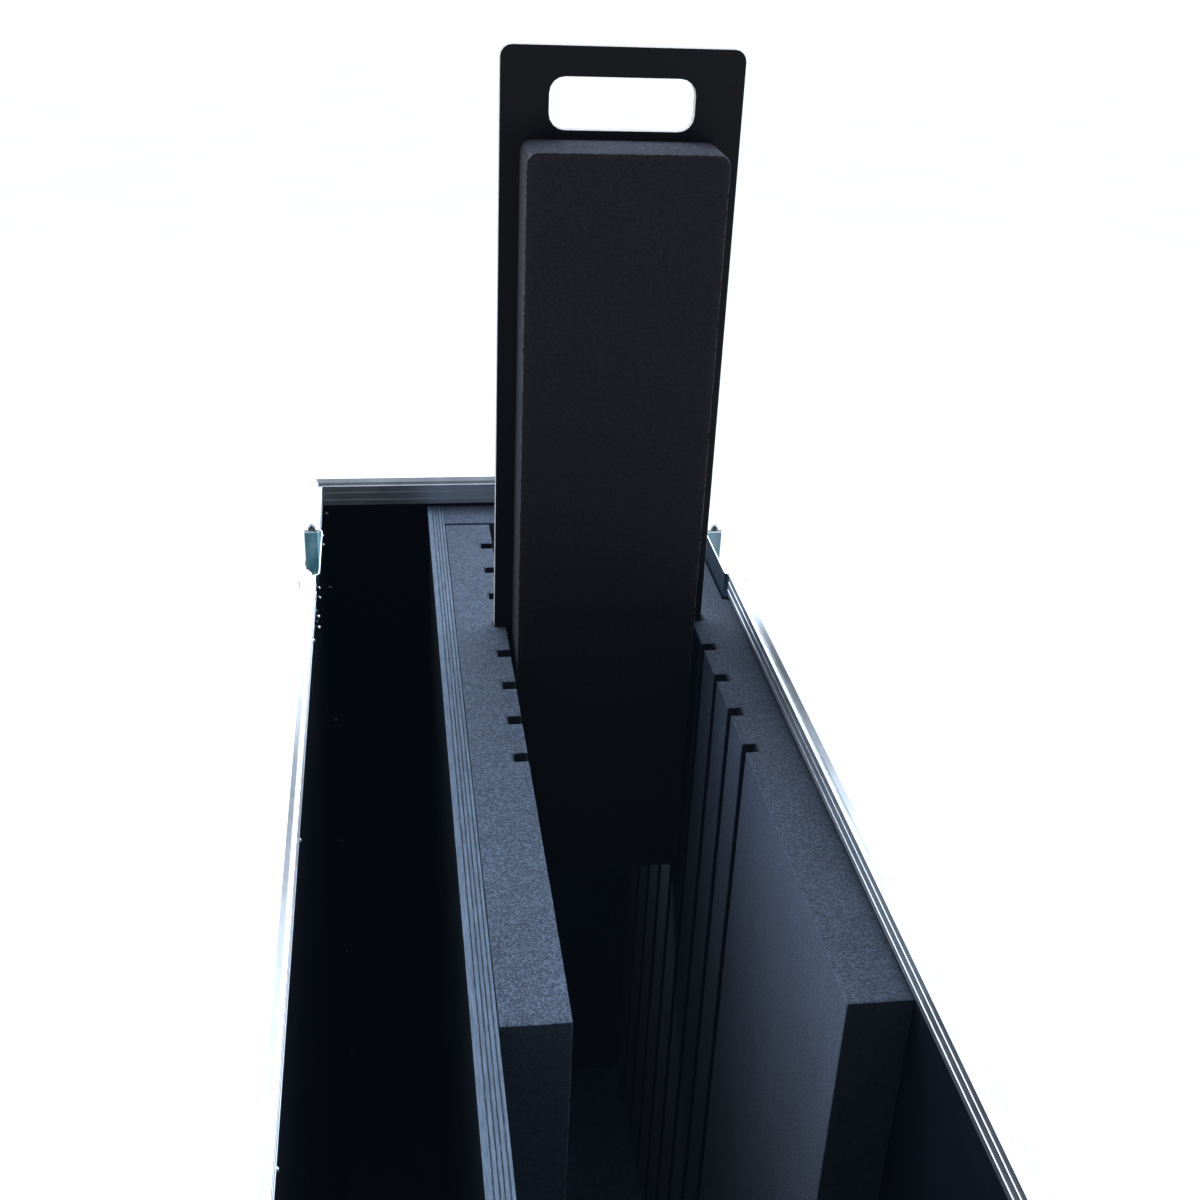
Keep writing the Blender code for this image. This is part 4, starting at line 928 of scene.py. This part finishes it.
def rim_rivets():
    """Heads along the rim's outer legs, and tails on its inner leg in the accessory bay."""
    heads = []
    tails = []
    height = RIM_TOP - RIM_RIVET_DROP
    for side, x_sign in SIDES:
        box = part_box(f"rim_{side}_middle")
        outer = limit(box, ACROSS, x_sign)
        inner = limit(box, ACROSS, -x_sign)
        for place in spread_out(RIM_RIVET_LAST, RIM_RIVET_COUNT):
            heads.append(((outer, place, height), (x_sign, 0, 0)))
            if side == "left":
                tails.append(((inner, place, height), (1, 0, 0)))
    for end, y_sign in ENDS:
        outer = limit(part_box(f"rim_{end}"), ALONG, y_sign)
        for place in END_RIVET_PLACES:
            heads.append(((place, outer, height), (0, y_sign, 0)))
    return heads, tails


def dish_rivets():
    """Tails on the left rim's inner leg, in line with the rivets of each latch dish below them."""
    tails = []
    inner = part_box("rim_left_middle")[1].x
    for end in ("far", "near"):
        low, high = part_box(f"latch_dish_{end}_left")
        for place in (low.y + DISH_RIVET_EDGE, high.y - DISH_RIVET_EDGE):
            for drop in DISH_RIVET_DROPS:
                tails.append(((inner, place, RIM_TOP - drop), (1, 0, 0)))
    return tails


def bottom_rivets():
    """Heads along the bottom angles and on the pressed corners."""
    heads = []
    for side, x_sign in SIDES:
        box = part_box(f"bottom_angle_{side}")
        outer = limit(box, ACROSS, x_sign)
        for place in spread_out(BOTTOM_RIVET_LAST, BOTTOM_RIVET_COUNT):
            heads.append(((outer, place, box[1].z - BOTTOM_RIVET_DROP), (x_sign, 0, 0)))
    for end, y_sign in ENDS:
        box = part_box(f"bottom_angle_{end}")
        outer = limit(box, ALONG, y_sign)
        for place in END_RIVET_PLACES:
            heads.append(((place, outer, box[1].z - BOTTOM_RIVET_DROP), (0, y_sign, 0)))
    for end, y_sign in ENDS:
        for side, x_sign in SIDES:
            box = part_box(f"ball_corner_{end}_{side}")
            middle_x = limit(box, ACROSS, -x_sign) + x_sign * PRESSED_RIVET_INSET
            middle_y = limit(box, ALONG, -y_sign) + y_sign * PRESSED_RIVET_INSET
            height = box[1].z - PRESSED_RIVET_INSET
            heads.append(((x_sign * PRESSED_FACE_X, middle_y, height), (x_sign, 0, 0)))
            heads.append(((middle_x, y_sign * PRESSED_FACE_Y, height), (0, y_sign, 0)))
    return heads


def handle_rivets():
    """Heads round the flange of each handle dish."""
    heads = []
    for end, y_sign in ENDS:
        low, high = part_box(f"handle_dish_{end}")
        outer = limit((low, high), ALONG, y_sign)
        middle = (low + high) / 2
        out_x = (high.x - low.x) / 2 - HANDLE_RIVET_INSET
        out_z = (high.z - low.z) / 2 - HANDLE_RIVET_INSET
        for across in (-1, 0, 1):
            for up in (-1, 0, 1):
                if across or up:
                    point = (middle.x + across * out_x, outer, middle.z + up * out_z)
                    heads.append((point, (0, y_sign, 0)))
    return heads


def make_rivets():
    """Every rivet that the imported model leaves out, in seven pieces."""
    metal = metal_finish("rivet_metal", RIVET_METAL, 0.30, (1, 1, 1), 0.00002)
    heads, tails = corner_rivets()
    rivet_group("corner_rivets", heads, metal)
    rivet_group("corner_rivet_tails", tails, metal, TAIL_RADIUS, TAIL_HEIGHT)
    heads, tails = rim_rivets()
    rivet_group("rim_rivets", heads, metal)
    rivet_group("rim_rivet_tails", tails, metal, RIM_TAIL_RADIUS, TAIL_HEIGHT)
    rivet_group("dish_rivet_tails", dish_rivets(), tail_finish(), DISH_TAIL_RADIUS, DISH_TAIL_HEIGHT)
    rivet_group("bottom_rivets", bottom_rivets(), metal)
    rivet_group("handle_rivets", handle_rivets(), metal)


def make_floor():
    """A wide pale floor under the case."""
    shape = bmesh.new()
    bmesh.ops.create_grid(shape, x_segments=FLOOR_CELLS, y_segments=FLOOR_CELLS, size=FLOOR_HALF)
    make_piece("studio_floor", shape, floor_finish())


def set_view():
    """A plain view transform, with the haze as its curve's black level."""
    view = bpy.context.scene.view_settings
    view.view_transform = "Standard"
    view.use_curve_mapping = True
    view.curve_mapping.black_level = [-share for share in HAZE]
    view.curve_mapping.update()


def make_sky():
    """A sky that is bright behind the case and dim behind the camera, which sees a plain backdrop."""
    world = bpy.data.worlds.new("studio_sky")
    bpy.context.scene.world = world
    world.use_nodes = True
    nodes = world.node_tree.nodes
    link = world.node_tree.links.new
    sky = nodes["Background"]
    sky.inputs["Color"].default_value = (*SKY_COLOUR, 1.0)
    direction = nodes.new("ShaderNodeTexCoord")
    parts = nodes.new("ShaderNodeSeparateXYZ")
    strength = nodes.new("ShaderNodeMapRange")
    strength.interpolation_type = "SMOOTHSTEP"
    strength.inputs["From Min"].default_value = SKY_DIM_UNTIL
    strength.inputs["From Max"].default_value = SKY_BRIGHT_FROM
    strength.inputs["To Min"].default_value = SKY_DIM
    strength.inputs["To Max"].default_value = SKY_BRIGHT
    link(direction.outputs["Generated"], parts.inputs["Vector"])
    link(parts.outputs["Y"], strength.inputs["Value"])
    link(strength.outputs["Result"], sky.inputs["Strength"])
    backdrop = nodes.new("ShaderNodeBackground")
    backdrop.inputs["Color"].default_value = (*BACKDROP_COLOUR, 1.0)
    path = nodes.new("ShaderNodeLightPath")
    choice = nodes.new("ShaderNodeMixShader")
    link(path.outputs["Is Camera Ray"], choice.inputs[0])
    link(sky.outputs["Background"], choice.inputs[1])
    link(backdrop.outputs["Background"], choice.inputs[2])
    link(choice.outputs["Shader"], nodes["World Output"].inputs["Surface"])


def make_lamp():
    """A wide soft lamp above and behind the case."""
    lamp = bpy.data.lights.new("softbox", "AREA")
    lamp.shape = "RECTANGLE"
    lamp.size = LAMP_WIDTH
    lamp.size_y = LAMP_DEPTH
    lamp.energy = LAMP_WATTS
    lamp.color = SKY_COLOUR
    holder = bpy.data.objects.new("softbox", lamp)
    holder.location = LAMP_PLACE
    holder.rotation_mode = "QUATERNION"
    holder.rotation_quaternion = (Vector(LAMP_AIM) - holder.location).to_track_quat("-Z", "Y")
    bpy.context.scene.collection.objects.link(holder)


def make_camera():
    """The photograph's view: turned, tipped down and rolled a little."""
    level = Vector((math.sin(CAMERA_YAW), math.cos(CAMERA_YAW), 0))
    ahead = level * math.cos(CAMERA_PITCH) - Vector((0, 0, math.sin(CAMERA_PITCH)))
    right = ahead.cross(Vector((0, 0, 1))).normalized()
    up = right.cross(ahead)
    rolled_right = right * math.cos(CAMERA_ROLL) + up * math.sin(CAMERA_ROLL)
    rolled_up = up * math.cos(CAMERA_ROLL) - right * math.sin(CAMERA_ROLL)
    turn = Matrix((rolled_right, rolled_up, -ahead)).transposed().to_4x4()
    camera = bpy.data.cameras.new("camera")
    camera.lens = LENS_MM
    camera.sensor_width = SENSOR_MM
    camera.clip_start, camera.clip_end = CAMERA_CLIP
    holder = bpy.data.objects.new("camera", camera)
    holder.matrix_world = Matrix.Translation(CAMERA_PLACE) @ turn
    bpy.context.scene.collection.objects.link(holder)
    bpy.context.scene.camera = holder


make_camera()
set_view()
make_sky()
make_lamp()
make_floor()
dress_nodes()
make_foams()
make_rivets()
